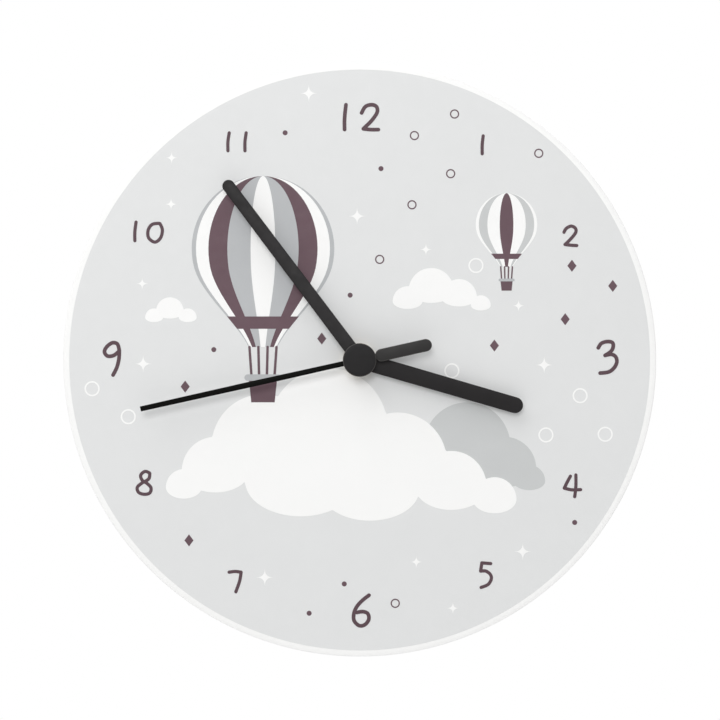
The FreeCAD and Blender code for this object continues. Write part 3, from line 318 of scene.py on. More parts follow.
def arc(across, along, radius, start, end, parts):
    """Points of an arc, with angles counter-clockwise from the across direction."""
    points = []
    for step in range(parts + 1):
        turn = math.radians(start + (end - start) * step / parts)
        points.append((across + radius * math.cos(turn), along + radius * math.sin(turn)))
    return points


def circle(x, z, radius, parts):
    """Counter-clockwise circle outline."""
    return arc(x, z, radius, 0, 360, parts)[:-1]


def inset(outline, amount):
    """Move the corners of a counter-clockwise outline inwards."""
    if not amount:
        return list(outline)
    count = len(outline)
    moved = []
    for index in range(count):
        before = outline[index - 1]
        here = outline[index]
        after = outline[(index + 1) % count]
        first = (here[0] - before[0], here[1] - before[1])
        second = (after[0] - here[0], after[1] - here[1])
        first_length = math.hypot(*first) or 1.0
        second_length = math.hypot(*second) or 1.0
        normal_x = -first[1] / first_length - second[1] / second_length
        normal_z = first[0] / first_length + second[0] / second_length
        square = normal_x * normal_x + normal_z * normal_z
        reach = 2 * amount / max(square, LEAST_CORNER_SQUARE)
        moved.append((here[0] + normal_x * reach, here[1] + normal_z * reach))
    return moved


def slab(outline, back, front, front_round=0.0, back_round=0.0, parts=EDGE_PARTS):
    """A flat closed part with rounded edges, from a counter-clockwise outline in x and z."""
    layers = []
    if back_round:
        for step in range(parts):
            turn = math.pi / 2 * step / parts
            layers.append((back_round * (1 - math.sin(turn)), back + back_round * (1 - math.cos(turn))))
    layers.append((0.0, back + back_round))
    if front_round:
        for step in range(parts + 1):
            turn = math.pi / 2 * step / parts
            drop = front_round * (1 - math.cos(turn))
            layers.append((drop, front - front_round + front_round * math.sin(turn)))
    else:
        layers.append((0.0, front))
    points = []
    for amount, depth in layers:
        points.extend((x, depth, z) for x, z in inset(outline, amount))
    count = len(outline)
    faces = [list(reversed(range(count)))]
    for layer in range(len(layers) - 1):
        low = layer * count
        for index in range(count):
            after = (index + 1) % count
            faces.append([low + index, low + after, low + count + after, low + count + index])
    last = (len(layers) - 1) * count
    faces.append([last + index for index in range(count)])
    return points, faces


def turned_part(profile, place, parts, looped=False):
    """A closed part turned from pairs of a radius and a distance along its axis.

    A looped profile leaves a hole, and any other is closed with flat discs. The place function
    takes two distances across the axis and one along it, and gives a point.
    """
    rows = len(profile)
    points = []
    for radius, along in profile:
        for step in range(parts):
            turn = 2 * math.pi * step / parts
            points.append(place(radius * math.cos(turn), radius * math.sin(turn), along))
    faces = []
    for row in range(rows if looped else rows - 1):
        low = row * parts
        high = (row + 1) % rows * parts
        for step in range(parts):
            after = (step + 1) % parts
            faces.append([low + step, low + after, high + after, high + step])
    if not looped:
        last = (rows - 1) * parts
        faces.append(list(reversed(range(parts))))
        faces.append([last + step for step in range(parts)])
    return points, faces


def about_arbor(across, up, depth):
    """Place for a part that is turned about the hands' axis."""
    return across, depth, up


def curve_between(four, share, axis):
    """One coordinate of the smooth curve between the middle two of four points."""
    first, second, third, fourth = (point[axis] for point in four)
    return 0.5 * (
        2 * second
        + (third - first) * share
        + (2 * first - 5 * second + 4 * third - fourth) * share ** 2
        + (3 * second - first - 3 * third + fourth) * share ** 3
    )


def smooth_line(points, closed=False):
    """Points of a smooth curve through the given ones."""
    count = len(points)
    if count == 2:
        return list(points)
    spans = count if closed else count - 1
    line = []
    for span in range(spans):
        if closed:
            four = [points[(span + step) % count] for step in (-1, 0, 1, 2)]
        else:
            four = [points[min(max(span + step, 0), count - 1)] for step in (-1, 0, 1, 2)]
        for step in range(LINE_PARTS):
            share = step / LINE_PARTS
            line.append(tuple(curve_between(four, share, axis) for axis in (0, 1)))
    if not closed:
        line.append(points[-1])
    return line


def ribbon(line, width, back, front, closed=False):
    """A thin closed part along a line, with round ends. Crossings lie at different heights."""
    count = len(line)
    half = width / 2
    sides = []
    for index in range(count):
        if closed:
            before, after = line[index - 1], line[(index + 1) % count]
        else:
            before, after = line[max(index - 1, 0)], line[min(index + 1, count - 1)]
        along = (after[0] - before[0], after[1] - before[1])
        length = math.hypot(*along) or 1.0
        sides.append((-along[1] / length * half, along[0] / length * half))
    points = []
    for index in range(count):
        x, z = line[index]
        side_x, side_z = sides[index]
        rise_share = math.sin(2 * math.pi * index / count) if closed else index / count
        top = front + CROSSING_RISE * rise_share
        points.append((x + side_x, top, z + side_z))
        points.append((x - side_x, top, z - side_z))
        points.append((x - side_x, back, z - side_z))
        points.append((x + side_x, back, z + side_z))
    faces = []
    spans = count if closed else count - 1
    for index in range(spans):
        here = 4 * index
        there = 4 * ((index + 1) % count)
        for corner in range(4):
            following = (corner + 1) % 4
            faces.append([here + following, there + following, there + corner, here + corner])
    if not closed:
        for index, sign in ((0, -1), (count - 1, 1)):
            add_round_end(points, faces, index, line[index], sides[index], sign)
    return points, faces


def add_round_end(points, faces, index, centre, side, sign):
    """Close one end of a ribbon with half a disc."""
    corner = 4 * index
    top = points[corner][1]
    back = points[corner + 2][1]
    upper = []
    lower = []
    for step in range(1, ROUND_END_PARTS):
        turn = math.pi * step / ROUND_END_PARTS
        cos, sin = math.cos(turn), -sign * math.sin(turn)
        x = centre[0] + side[0] * cos - side[1] * sin
        z = centre[1] + side[1] * cos + side[0] * sin
        upper.append(len(points))
        points.append((x, top, z))
        lower.append(len(points))
        points.append((x, back, z))
    upper = [corner] + upper + [corner + 1]
    lower = [corner + 3] + lower + [corner + 2]
    ends = [list(upper), list(reversed(lower))]
    for step in range(len(upper) - 1):
        ends.append([upper[step], lower[step], lower[step + 1], upper[step + 1]])
    for face in ends:
        if sign > 0:
            face.reverse()
        faces.append(face)


def on_dial(x, y):
    """Place on the dial for a pixel of the photograph."""
    return ((x - CENTRE_PIXEL[0]) * PIXEL_ACROSS, (CENTRE_PIXEL[1] - y) * PIXEL_UP)


# Board and print

BOARD_RADIUS = 99.97
BOARD_HOLE_RADIUS = 4.2
BACK_EDGE_ROUND = 0.3
FRONT_EDGE_ROUND = 0.3
FRONT_EDGE_PARTS = 8
EDGE_SLOPE = 1.1
EDGE_DROP = 0.07
PRINT_RADIUS = 97.9
PRINT_HOLE_RADIUS = 5.3
DISC_PARTS = 288

INK_ROOT = 0.01
INK_THICK = 0.02
INK_STEP = 0.014
FIELD_LAYER = 0
FAR_CLOUD_LAYER = 1
NEAR_CLOUD_LAYER = 2
MARK_LAYER = 3
BALLOON_LAYER = 3
BALLOON_TRIM_LAYER = 4
BASKET_RIM_LAYER = 5
NUMERAL_LAYER = 5


def build_board():
    """Round board with rounded edges and a narrow slope round its front."""
    profile = [(BOARD_HOLE_RADIUS, DIAL_BACK)]
    inner = BOARD_RADIUS - BACK_EDGE_ROUND
    profile += arc(inner, DIAL_BACK + BACK_EDGE_ROUND, BACK_EDGE_ROUND, -90, 0, EDGE_PARTS)
    inner = BOARD_RADIUS - FRONT_EDGE_ROUND
    middle = DIAL_FRONT - EDGE_DROP - FRONT_EDGE_ROUND
    profile += arc(inner, middle, FRONT_EDGE_ROUND, 0, 90, FRONT_EDGE_PARTS)
    profile.append((BOARD_RADIUS - EDGE_SLOPE, DIAL_FRONT))
    profile.append((BOARD_HOLE_RADIUS, DIAL_FRONT))
    shape = Shape()
    shape.add(*turned_part(profile, about_arbor, DISC_PARTS, looped=True))
    board = shape.make("dial_board", "board_white", "root", "dial_board", BOARD_SMOOTH)
    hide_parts("dial_panel")


def print_layer(number):
    """Back and front depths of a layer of ink on the board."""
    return DIAL_FRONT - INK_ROOT, DIAL_FRONT + INK_THICK + INK_STEP * number


def build_field():
    """Pale grey ground of the print."""
    back, front = print_layer(FIELD_LAYER)
    profile = [(PRINT_HOLE_RADIUS, back), (PRINT_RADIUS, back), (PRINT_RADIUS, front),
               (PRINT_HOLE_RADIUS, front)]
    shape = Shape()
    shape.add(*turned_part(profile, about_arbor, DISC_PARTS, looped=True))
    shape.make("dial_field", "field_print", "root", "dial_board", FLAT_SMOOTH)


# Numerals as strokes through pixels; a stroke that ends where it starts is closed
NUMERALS = {
    "12": [[(345.8, 107.5), (344.8, 116), (344.3, 124), (344.4, 132)],
           [(361.6, 115.6), (365.4, 109.4), (371.6, 107.5), (376.6, 109.4), (377.3, 115), (372.3, 122.5),
            (366, 128.8), (363.3, 131.3)],
           [(363.3, 131.3), (371, 132.1), (378.5, 132.1)]],
    "1": [[(484.4, 138.3), (483.4, 147), (483.4, 156)]],
    "2": [[(566, 233.6), (568.3, 229.9), (573.3, 227.6), (577.6, 229.9), (577.6, 234.3), (572, 241.1),
           (567, 245.8)],
          [(567, 245.8), (573.3, 246.5), (578.9, 246.8)]],
    "3": [[(600.6, 348), (603.8, 343.6), (610, 341.8), (615, 343), (615.6, 347.4), (613.1, 351.8),
           (607.5, 355.5)],
          [(607.5, 355.5), (613.8, 354.5), (618.1, 356.8), (619.4, 361.8), (616.9, 367.4), (611.3, 371.8),
           (602.5, 373)]],
    "4": [[(572.5, 475), (569, 481.3), (566.3, 486.9)],
          [(566.3, 486.9), (574, 488.5), (582.8, 488.3)],
          [(578, 473.8), (578, 485), (576.8, 495.3)]],
    "5": [[(492, 561.5), (483, 560.8)],
          [(483, 560.8), (481.8, 568.9)],
          [(481.8, 568.9), (487, 568.9), (491.4, 572), (492.6, 576.4), (489.5, 582), (482.3, 585.1)]],
    "6": [[(369.1, 592.8), (362.3, 598), (356.6, 604.3), (353.8, 611.1), (354.1, 618), (359.1, 622.8),
           (364.8, 622), (368.8, 616.8), (367.9, 611.1), (362.9, 609), (356.6, 609.9)]],
    "7": [[(227.8, 570), (234, 569.3), (239.9, 570)],
          [(239.9, 570), (238.4, 578.8), (234.6, 589.4)]],
    "8": [[(147, 471.6), (142.6, 470.4), (138.5, 474.1), (140.1, 479.1), (145.1, 482.3), (148.9, 486.6),
           (147.6, 491.6), (142, 492.9), (136.4, 491), (135.1, 486), (140.1, 481.6), (146.4, 477.9),
           (147.6, 473.5), (147, 471.6)]],
    "9": [[(116.9, 350.5), (115, 344.3), (110, 343), (104.4, 346.8), (101.9, 351.8), (105, 356.1),
           (111.3, 355.5), (116.9, 351.1)],
          [(116.9, 351), (116.5, 359), (114.4, 367.4), (110.6, 374.9)]],
    "10": [[(133.8, 223.6), (132.6, 233), (132.6, 242)],
           [(156.6, 224.9), (149.8, 226.1), (146, 231.8), (146.6, 239.3), (152.9, 243.4), (158.5, 239.3),
            (160.4, 231.8), (158.5, 226.1), (156.6, 224.9)]],
    "11": [[(227.9, 135.3), (226.6, 144), (226.6, 153)],
           [(245, 135.3), (243.8, 144), (243.8, 153)]],
}
BOLD_NUMERALS = ("12", "3", "6", "9")
BOLD_STROKE = 1.27
LIGHT_STROKE = 1.1


def build_numerals():
    """Hour numerals in round-ended strokes, bolder at the quarters."""
    back, front = print_layer(NUMERAL_LAYER)
    for numeral, strokes in NUMERALS.items():
        width = BOLD_STROKE if numeral in BOLD_NUMERALS else LIGHT_STROKE
        shape = Shape()
        for stroke in strokes:
            closed = stroke[0] == stroke[-1]
            places = [on_dial(*pixel) for pixel in stroke]
            line = smooth_line(places[:-1] if closed else places, closed)
            shape.add(*ribbon(line, width, back, front, closed))
        shape.make("numeral_" + numeral, "ink_dark", "root", "dial_board")


# Clouds as round bumps in pixels: centre across, centre down and radius. Each has a belly share,
# the depth of a bump below its centre as a share of its radius.
FAR_CLOUDS = [
    ([(430, 466, 34), (468, 446, 44), (506, 468, 32), (395, 480, 26), (531, 480, 16)], 0.55),
]
NEAR_CLOUDS = [
    ([(214, 470, 34), (262, 446, 52), (328, 428, 60), (398, 462, 50), (452, 486, 36), (496, 498, 22),
      (182, 486, 18), (300, 480, 56), (370, 488, 50)], 0.62),
    ([(408, 302, 15), (432, 292, 23), (460, 298, 18), (482, 306, 10)], 0.5),
    ([(152, 318, 9), (168, 312, 14), (186, 318, 9)], 0.5),
]
CLOUD_PARTS = 360


def cloud_outline(bumps, belly_share):
    """One outline round the bumps, which are round above and flatter below."""
    left = min(x - radius for x, y, radius in bumps)
    right = max(x + radius for x, y, radius in bumps)
    upper = []
    lower = []
    for step in range(CLOUD_PARTS + 1):
        x = left + (right - left) * (1 - math.cos(math.pi * step / CLOUD_PARTS)) / 2
        tops = []
        bottoms = []
        for centre, level, radius in bumps:
            square = radius ** 2 - (x - centre) ** 2
            if square >= 0:
                tops.append(level - math.sqrt(square))
                bottoms.append(level + math.sqrt(square) * belly_share)
        if tops:
            upper.append((x, min(tops)))
            lower.append((x, max(bottoms)))
    return [on_dial(*pixel) for pixel in lower + list(reversed(upper[1:-1]))]


def build_clouds(name, clouds, ink, layer):
    """All the clouds of one layer."""
    back, front = print_layer(layer)
    shape = Shape()
    for bumps, belly_share in clouds:
        shape.add(*slab(cloud_outline(bumps, belly_share), back, front))
    shape.make(name, ink, "root", "dial_board")


# Balloons: pixel of the middle, radius in pixels, and the inks of the panels from left to right
BALLOONS = [
    (262, 250, 72, ["grey", "white", "plum", "grey", "white", "grey", "plum", "white", "grey"]),
    (508, 226, 31, ["white", "pale", "white", "plum", "white", "pale", "white"]),
]
BALLOON_INKS = ("grey", "white", "plum", "pale")
PANEL_PARTS = 40

# Shares of a balloon's radius, with heights measured down from its middle
TOP_SHARE = -1.0
ROUND_SHARE = 0.25
MOUTH_SHARE = 1.35
ROUND_END_SHARE = 0.968
ROUND_END_SLOPE_SHARE = -0.258
MOUTH_HALF_SHARE = 0.2
MOUTH_SLOPE_SHARE = -0.55
BAND_SHARES = (0.93, 1.1)
ROPE_LENGTH_SHARE = 0.42
BASKET_HALF_SHARE = 0.2
BASKET_TALL_SHARE = 0.34

# Widths in millimetres: the least, and what each pixel of a balloon's radius gives
LEAST_ROPE_WIDTH = 0.2
ROPE_WIDTH_BY_PIXEL = 0.009
RIM_WIDTH_BY_PIXEL = 0.03

# Shares of half a basket's width
ROPE_SHARES = (-1, -0.34, 0.34, 1)
ROPE_TOP_SHARE = 0.95
ROPE_FOOT_SHARE = 0.8
BASKET_FOOT_SHARE = 0.82
BASKET_RIM_SHARE = 1.08


def envelope_share(height_share):
    """Half width of a balloon at a height: round down to a line, then drawn in to the mouth."""
    if height_share <= ROUND_SHARE:
        return math.sqrt(max(0.0, 1 - height_share * height_share))
    span = MOUTH_SHARE - ROUND_SHARE
    along = (height_share - ROUND_SHARE) / span
    square, cube = along ** 2, along ** 3
    return (
        ROUND_END_SHARE * (2 * cube - 3 * square + 1)
        + ROUND_END_SLOPE_SHARE * span * (cube - 2 * square + along)
        + MOUTH_HALF_SHARE * (3 * square - 2 * cube)
        + MOUTH_SLOPE_SHARE * (cube - square)
    )


def panel_outline(x, y, radius, left_share, right_share, top_share=TOP_SHARE, low_share=MOUTH_SHARE):
    """Outline of one panel of a balloon between two shares of its half width."""
    left = []
    right = []
    for step in range(PANEL_PARTS + 1):
        step_share = (1 - math.cos(math.pi * step / PANEL_PARTS)) / 2
        height_share = top_share + (low_share - top_share) * step_share
        half = envelope_share(height_share) * radius
        left.append((x + half * left_share, y + height_share * radius))
        right.append((x + half * right_share, y + height_share * radius))
    around = left + list(reversed(right))
    if top_share <= TOP_SHARE:
        around = around[:-1]
    return [on_dial(*pixel) for pixel in around]


def add_envelope(shapes, x, y, radius, panels):
    """Add a balloon's striped envelope and the band round its lower part."""
    back, front = print_layer(BALLOON_LAYER)
    count = len(panels)
    for index, ink in enumerate(panels):
        left_share = math.sin(math.pi * (index / count - 0.5))
        right_share = math.sin(math.pi * ((index + 1) / count - 0.5))
        shapes[ink].add(*slab(panel_outline(x, y, radius, left_share, right_share), back, front))
    back, front = print_layer(BALLOON_TRIM_LAYER)
    shapes["plum"].add(*slab(panel_outline(x, y, radius, -1.0, 1.0, *BAND_SHARES), back, front))


def add_basket(shapes, x, y, radius):
    """Add a balloon's basket on its four ropes."""
    back, front = print_layer(BALLOON_TRIM_LAYER)
    mouth = y + MOUTH_SHARE * radius
    basket = mouth + ROPE_LENGTH_SHARE * radius
    half = BASKET_HALF_SHARE * radius
    foot = basket + BASKET_TALL_SHARE * radius
    foot_half = half * BASKET_FOOT_SHARE
    rim_half = half * BASKET_RIM_SHARE
    rope_width = ROPE_WIDTH_BY_PIXEL * radius + LEAST_ROPE_WIDTH
    for rope_share in ROPE_SHARES:
        top = on_dial(x + rope_share * half * ROPE_TOP_SHARE, mouth)
        end = on_dial(x + rope_share * half * ROPE_FOOT_SHARE, basket)
        shapes["plum"].add(*ribbon([top, end], rope_width, back, front))
    corners = [(x - half, basket), (x - foot_half, foot), (x + foot_half, foot), (x + half, basket)]
    shapes["plum"].add(*slab([on_dial(*corner) for corner in corners], back, front))
    rim = [on_dial(x - rim_half, basket), on_dial(x + rim_half, basket)]
    rim_front = print_layer(BASKET_RIM_LAYER)[1]
    shapes["grey"].add(*ribbon(rim, RIM_WIDTH_BY_PIXEL * radius, back, rim_front))


def build_balloons():
    """Two striped hot air balloons, as one piece for each ink."""
    shapes = {ink: Shape() for ink in BALLOON_INKS}
    for x, y, radius, panels in BALLOONS:
        add_envelope(shapes, x, y, radius, panels)
        add_basket(shapes, x, y, radius)
    for ink, shape in shapes.items():
        shape.make("print_balloon_" + ink, "ink_" + ink, "root", "dial_board")


# Small marks in turn, each with its ink, its kind and its size: pixels for the pointed kinds,
# millimetres for the dot and the rings
MARKS = (
    ("plum", "diamond", 4.6),
    ("white", "sparkle", 8.5),
    ("plum", "dot", 0.85),
    ("white", "ring", 2.3),
    ("plum", "ring", 1.35),
    ("white", "sparkle", 6.0),
)
DIAMOND_TALL_SHARE = 1.3
SPARKLE_SIDE_PARTS = 6
DOT_PARTS = 24
RING_WIDTHS = {"white": 0.5, "plum": 0.42}
RING_PARTS = {"white": 40, "plum": 32}

# Marks lie on a spiral in pixels, a fixed turn apart, where they meet nothing else
MARK_TRIES = 104
MARK_TURN = 137.5
FIRST_MARK_TURN = 24
SPIRAL_REACH = 282
FIELD_REACH = 277
NUMERAL_CLEARANCE = 19

# Ovals in pixels that stay clear of marks: centre, half width and half height
CLEAR_OVALS = {
    "large balloon": (262, 250, 86, 86),
    "large basket": (262, 355, 34, 60),
    "small balloon": (508, 226, 44, 44),
    "small basket": (508, 275, 18, 34),
    "middle cloud": (445, 300, 58, 36),
    "left cloud": (168, 316, 36, 22),
    "near cloud": (330, 470, 195, 100),
    "far cloud": (500, 478, 74, 52),
    "hub": (360, 360, 34, 34),
    "hour hand's tip": (518, 404, 16, 16),
    "second hand's tip": (142, 408, 12, 12),
}


def sparkle(x, y, radius):
    """Four-pointed sparkle with hollow sides."""
    outline = []
    for point in range(4):
        first = math.pi / 2 * point
        second = first + math.pi / 2
        for step in range(SPARKLE_SIDE_PARTS):
            share = step / SPARKLE_SIDE_PARTS
            near, far = (1 - share) ** 2, share ** 2
            across = radius * (near * math.cos(first) + far * math.cos(second))
            up = radius * (near * math.sin(first) + far * math.sin(second))
            outline.append(on_dial(x + across, y - up))
    return outline


def diamond(x, y, radius):
    """Upright diamond."""
    tall = radius * DIAMOND_TALL_SHARE
    corners = [(x, y - tall), (x - radius, y), (x, y + tall), (x + radius, y)]
    return [on_dial(*corner) for corner in corners]


def mark_part(x, y, ink, kind, size):
    """One small mark."""
    back, front = print_layer(MARK_LAYER)
    if kind == "ring":
        line = circle(*on_dial(x, y), size, RING_PARTS[ink])
        return ribbon(line, RING_WIDTHS[ink], back, front, closed=True)
    if kind == "dot":
        return slab(circle(*on_dial(x, y), size, DOT_PARTS), back, front)
    outline = diamond(x, y, size) if kind == "diamond" else sparkle(x, y, size)
    return slab(outline, back, front)


def is_free(x, y):
    """True where a small mark stays clear of the numerals and of the larger pictures."""
    for strokes in NUMERALS.values():
        for stroke in strokes:
            if min(math.dist(pixel, (x, y)) for pixel in stroke) < NUMERAL_CLEARANCE:
                return False
    for centre_x, centre_y, half_wide, half_tall in CLEAR_OVALS.values():
        if ((x - centre_x) / half_wide) ** 2 + ((y - centre_y) / half_tall) ** 2 < 1:
            return False
    return math.dist((x, y), CENTRE_PIXEL) < FIELD_REACH


def build_marks():
    """Small marks spread evenly over the free ground of the print."""
    shapes = {"plum": Shape(), "white": Shape()}
    placed = 0
    for step in range(MARK_TRIES):
        reach = SPIRAL_REACH * math.sqrt((step + 0.5) / MARK_TRIES)
        turn = math.radians(MARK_TURN * step + FIRST_MARK_TURN)
        x = CENTRE_PIXEL[0] + reach * math.sin(turn)
        y = CENTRE_PIXEL[1] - reach * math.cos(turn)
        if is_free(x, y):
            ink, kind, size = MARKS[placed % len(MARKS)]
            shapes[ink].add(*mark_part(x, y, ink, kind, size))
            placed += 1
    for ink, shape in shapes.items():
        shape.make("print_marks_" + ink, "ink_" + ink, "root", "dial_board")


# Hands, each drawn pointing to twelve and then turned clockwise to its hour

HOUR_ANGLE = 106.2
MINUTE_ANGLE = 323.0
SECOND_ANGLE = 257.4
HOUR_SIZES = dict(length=57.0, width=5.6, tip_width=5.4, root_radius=4.0)
MINUTE_SIZES = dict(length=75.0, width=4.6, tip_width=4.2, root_radius=4.0)
HAND_FRONT_ROUND = 0.2
HAND_BACK_ROUND = 0.08
TIP_PARTS = 24
ROOT_PARTS = 60


def turned(outline, angle):
    """Turn an outline clockwise from twelve, as seen from the front."""
    cos = math.cos(math.radians(angle))
    sin = math.sin(math.radians(angle))
    return [(across * cos + along * sin, along * cos - across * sin) for across, along in outline]


def depths(node):
    """Back and front depths of a solid."""
    low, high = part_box(node)
    return -high.y / MM, -low.y / MM


def hand_outline(length, width, tip_width, root_radius):
    """Tapered blade with a round tip and a round root."""
    outline = arc(0, length - tip_width / 2, tip_width / 2, 0, 180, TIP_PARTS)
    meet = math.degrees(math.acos(width / 2 / root_radius))
    outline += arc(0, 0, root_radius, 180 - meet, 360 + meet, ROOT_PARTS)
    return outline


def build_straight_hand(name, node, body, angle, sizes):
    """Satin black hand with softly rounded edges, on the depths of its solid."""
    back, front = depths(node)
    shape = Shape()
    outline = turned(hand_outline(**sizes), angle)
    shape.add(*slab(outline, back, front, HAND_FRONT_ROUND, HAND_BACK_ROUND))
    piece = shape.make(name, "hand_satin", body, "hand_black", FLAT_SMOOTH)
    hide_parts(node)


HUB_RADIUS = 5.6
HUB_BORE_RADIUS = 1.15
HUB_BACK_BEVEL = 0.1
HUB_ROUND = 0.34
HUB_ROUND_DROP = 0.42
HUB_ROUND_PARTS = 6
HUB_MIDDLE_RADIUS = 0.4
HUB_PARTS = 144
# The dome as distances in from the rim and drops below the front
HUB_DOME = ((0.6, 0.05), (1.4, 0.015))

ARM_RISE = 0.4
ARM_THICK = 0.6
ARM_LENGTH = 75.0
ARM_ROOT = 0.5
ARM_ROOT_HALF = 0.85
ARM_MIDDLE_HALF = 0.98
ARM_TIP_HALF = 0.86
ARM_CORNER = 0.1
ARM_FRONT_ROUND = 0.08
ARM_BACK_ROUND = 0.04
ARM_EDGE_PARTS = 2

TAIL_LENGTH = 24.7
TAIL_HALF = 2.1
TAIL_START = 7.5
TAIL_NECK_HALF = 0.8
TAIL_NECK_ROOT = 0.5
TAIL_SHOULDER_TURN = 68
TAIL_SHOULDER_PARTS = 10
TAIL_END_PARTS = 32
TAIL_FRONT_ROUND = 0.26
TAIL_BACK_ROUND = 0.06


def build_second_hub():
    """Round hub of the second hand, slightly domed, with a rounded rim."""
    back, front = depths("second_hand")
    profile = [(HUB_BORE_RADIUS, back), (HUB_RADIUS - HUB_BACK_BEVEL, back),
               (HUB_RADIUS, back + HUB_BACK_BEVEL)]
    profile += arc(HUB_RADIUS - HUB_ROUND, front - HUB_ROUND_DROP, HUB_ROUND, 0, 90, HUB_ROUND_PARTS)
    profile += [(HUB_RADIUS - inwards, front - drop) for inwards, drop in HUB_DOME]
    profile.append((HUB_MIDDLE_RADIUS, front))
    shape = Shape()
    shape.add(*turned_part(profile, about_arbor, HUB_PARTS))
    piece = shape.make("second_hub", "hub_satin_painted_highlight", "second", "hand_black", HUB_SMOOTH)
    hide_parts("second_hand")


def arm_depths():
    """Back and front depths of the second hand's arm and tail."""
    back = depths("second_hand")[0] + ARM_RISE
    return back, back + ARM_THICK


def build_second_arm():
    """Thin square-ended arm of the second hand, a little wider at its middle."""
    right = [(ARM_ROOT_HALF, ARM_ROOT), (ARM_MIDDLE_HALF, ARM_LENGTH / 2),
             (ARM_TIP_HALF, ARM_LENGTH - ARM_CORNER), (ARM_TIP_HALF - ARM_CORNER, ARM_LENGTH)]
    left = [(-across, along) for across, along in reversed(right)]
    shape = Shape()
    outline = turned(right + left, SECOND_ANGLE)
    shape.add(*slab(outline, *arm_depths(), ARM_FRONT_ROUND, ARM_BACK_ROUND, ARM_EDGE_PARTS))
    shape.make("second_arm", "hand_fine", "second", "hand_black", FLAT_SMOOTH)


def build_second_tail():
    """Wide rounded tail of the second hand on a thin neck."""
    end = TAIL_LENGTH - TAIL_HALF
    near_turn, far_turn = TAIL_SHOULDER_TURN, 180 - TAIL_SHOULDER_TURN
    outline = arc(0, -TAIL_START, TAIL_HALF, 0, near_turn, TAIL_SHOULDER_PARTS)
    outline += [(TAIL_NECK_HALF, -TAIL_NECK_ROOT), (-TAIL_NECK_HALF, -TAIL_NECK_ROOT)]
    outline += arc(0, -TAIL_START, TAIL_HALF, far_turn, 180, TAIL_SHOULDER_PARTS)
    outline += arc(0, -end, TAIL_HALF, 180, 360, TAIL_END_PARTS)
    shape = Shape()
    outline = turned(outline, SECOND_ANGLE)
    shape.add(*slab(outline, *arm_depths(), TAIL_FRONT_ROUND, TAIL_BACK_ROUND))
    shape.make("second_tail", "tail_satin_painted_highlight", "second", "hand_black", FLAT_SMOOTH)


# Movement details

KNOB_CENTRE_X = 14.0
ARROW_RADIUS = 2.7
ARROW_START = -60
ARROW_END = 160
ARROW_PARTS = 30
ARROW_WIDTH = 0.5
ARROW_ROOT = 0.1
ARROW_RISE = 0.16
ARROW_HEAD_LENGTH = 1.1
ARROW_HEAD_HALF = 0.8


def build_knob_arrow():
    """Raised curved arrow on the rear face of the setting knob."""
    knob_back = depths("setting_knob")[0]
    back, front = knob_back - ARROW_RISE, knob_back + ARROW_ROOT
    line = arc(KNOB_CENTRE_X, 0, ARROW_RADIUS, ARROW_START, ARROW_END, ARROW_PARTS)
    tip = line[-1]
    heading = math.radians(ARROW_END + 90)
    ahead = (ARROW_HEAD_LENGTH * math.cos(heading), ARROW_HEAD_LENGTH * math.sin(heading))
    aside = (-ARROW_HEAD_HALF * math.sin(heading), ARROW_HEAD_HALF * math.cos(heading))
    head = [
        (tip[0] + ahead[0], tip[1] + ahead[1]),
        (tip[0] + aside[0], tip[1] + aside[1]),
        (tip[0] - aside[0], tip[1] - aside[1]),
    ]
    shape = Shape()
    shape.add(*ribbon(line, ARROW_WIDTH, back, front))
    shape.add(*slab(head, back, front))
    shape.make("knob_arrow", "knob_black", "knob", "case_black")


# The cell's profiles as radius and distance: from the nub's face, or back from the flat end
NUB_PROFILE = ((2.3, 0.0), (2.6, 0.15), (2.75, 1.1), (6.2, 1.25), (6.85, 1.9))
CAN_END_PROFILE = ((6.95, 0.9), (6.6, 0.35), (5.6, 0.2), (4.9, 0.0), (0.4, 0.0))

# The sleeve's folded ends as drop below its outer radius, and distance from the same ends
SLEEVE_RADIUS = 7.25
SLEEVE_THICK = 0.28
BAND_END = 13.5
BAND_START = 1.75
BAND_FOLD = ((0.35, 1.9), (0.9, 1.5), (0.9, 1.3), (0.35, 1.35))
SLEEVE_FOLD = ((0.0, 0.75), (0.35, 0.3), (0.9, 0.25), (0.9, 0.45), (0.4, 0.8))
CELL_PARTS = 72


def build_cell():
    """Battery cell: steel can with its nub, in a plain sleeve with one lighter band."""
    low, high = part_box("battery_cell")
    left = low.x / MM
    length = (high.x - low.x) / MM
    depth = -(low.y + high.y) / 2 / MM
    height = (low.z + high.z) / 2 / MM

    def about_cell(across, up, along):
        """Place for a part that is turned about the cell's axis."""
        return left + along, depth + up, height + across

    can_profile = list(NUB_PROFILE)
    can_profile += [(radius, length - back) for radius, back in CAN_END_PROFILE]
    can = Shape()
    can.add(*turned_part(can_profile, about_cell, CELL_PARTS))
    piece = can.make("cell_can", "bright_steel", "battery", "cell", FLAT_SMOOTH)
    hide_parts("battery_cell")
    inner = SLEEVE_RADIUS - SLEEVE_THICK
    sleeve_profile = [(SLEEVE_RADIUS, BAND_END)]
    sleeve_profile += [(SLEEVE_RADIUS - drop, length - back) for drop, back in SLEEVE_FOLD]
    sleeve_profile.append((inner, BAND_END))
    sleeve = Shape()
    sleeve.add(*turned_part(sleeve_profile, about_cell, CELL_PARTS, looped=True))
    sleeve.make("cell_sleeve", "cell_sleeve", "battery", "cell", ROUND_SMOOTH)
    band_profile = [(SLEEVE_RADIUS, BAND_START), (SLEEVE_RADIUS, BAND_END), (inner, BAND_END)]
    band_profile += [(SLEEVE_RADIUS - drop, along) for drop, along in BAND_FOLD]
    band = Shape()
    band.add(*turned_part(band_profile, about_cell, CELL_PARTS, looped=True))
    band.make("cell_band", "cell_band", "battery", "cell", ROUND_SMOOTH)


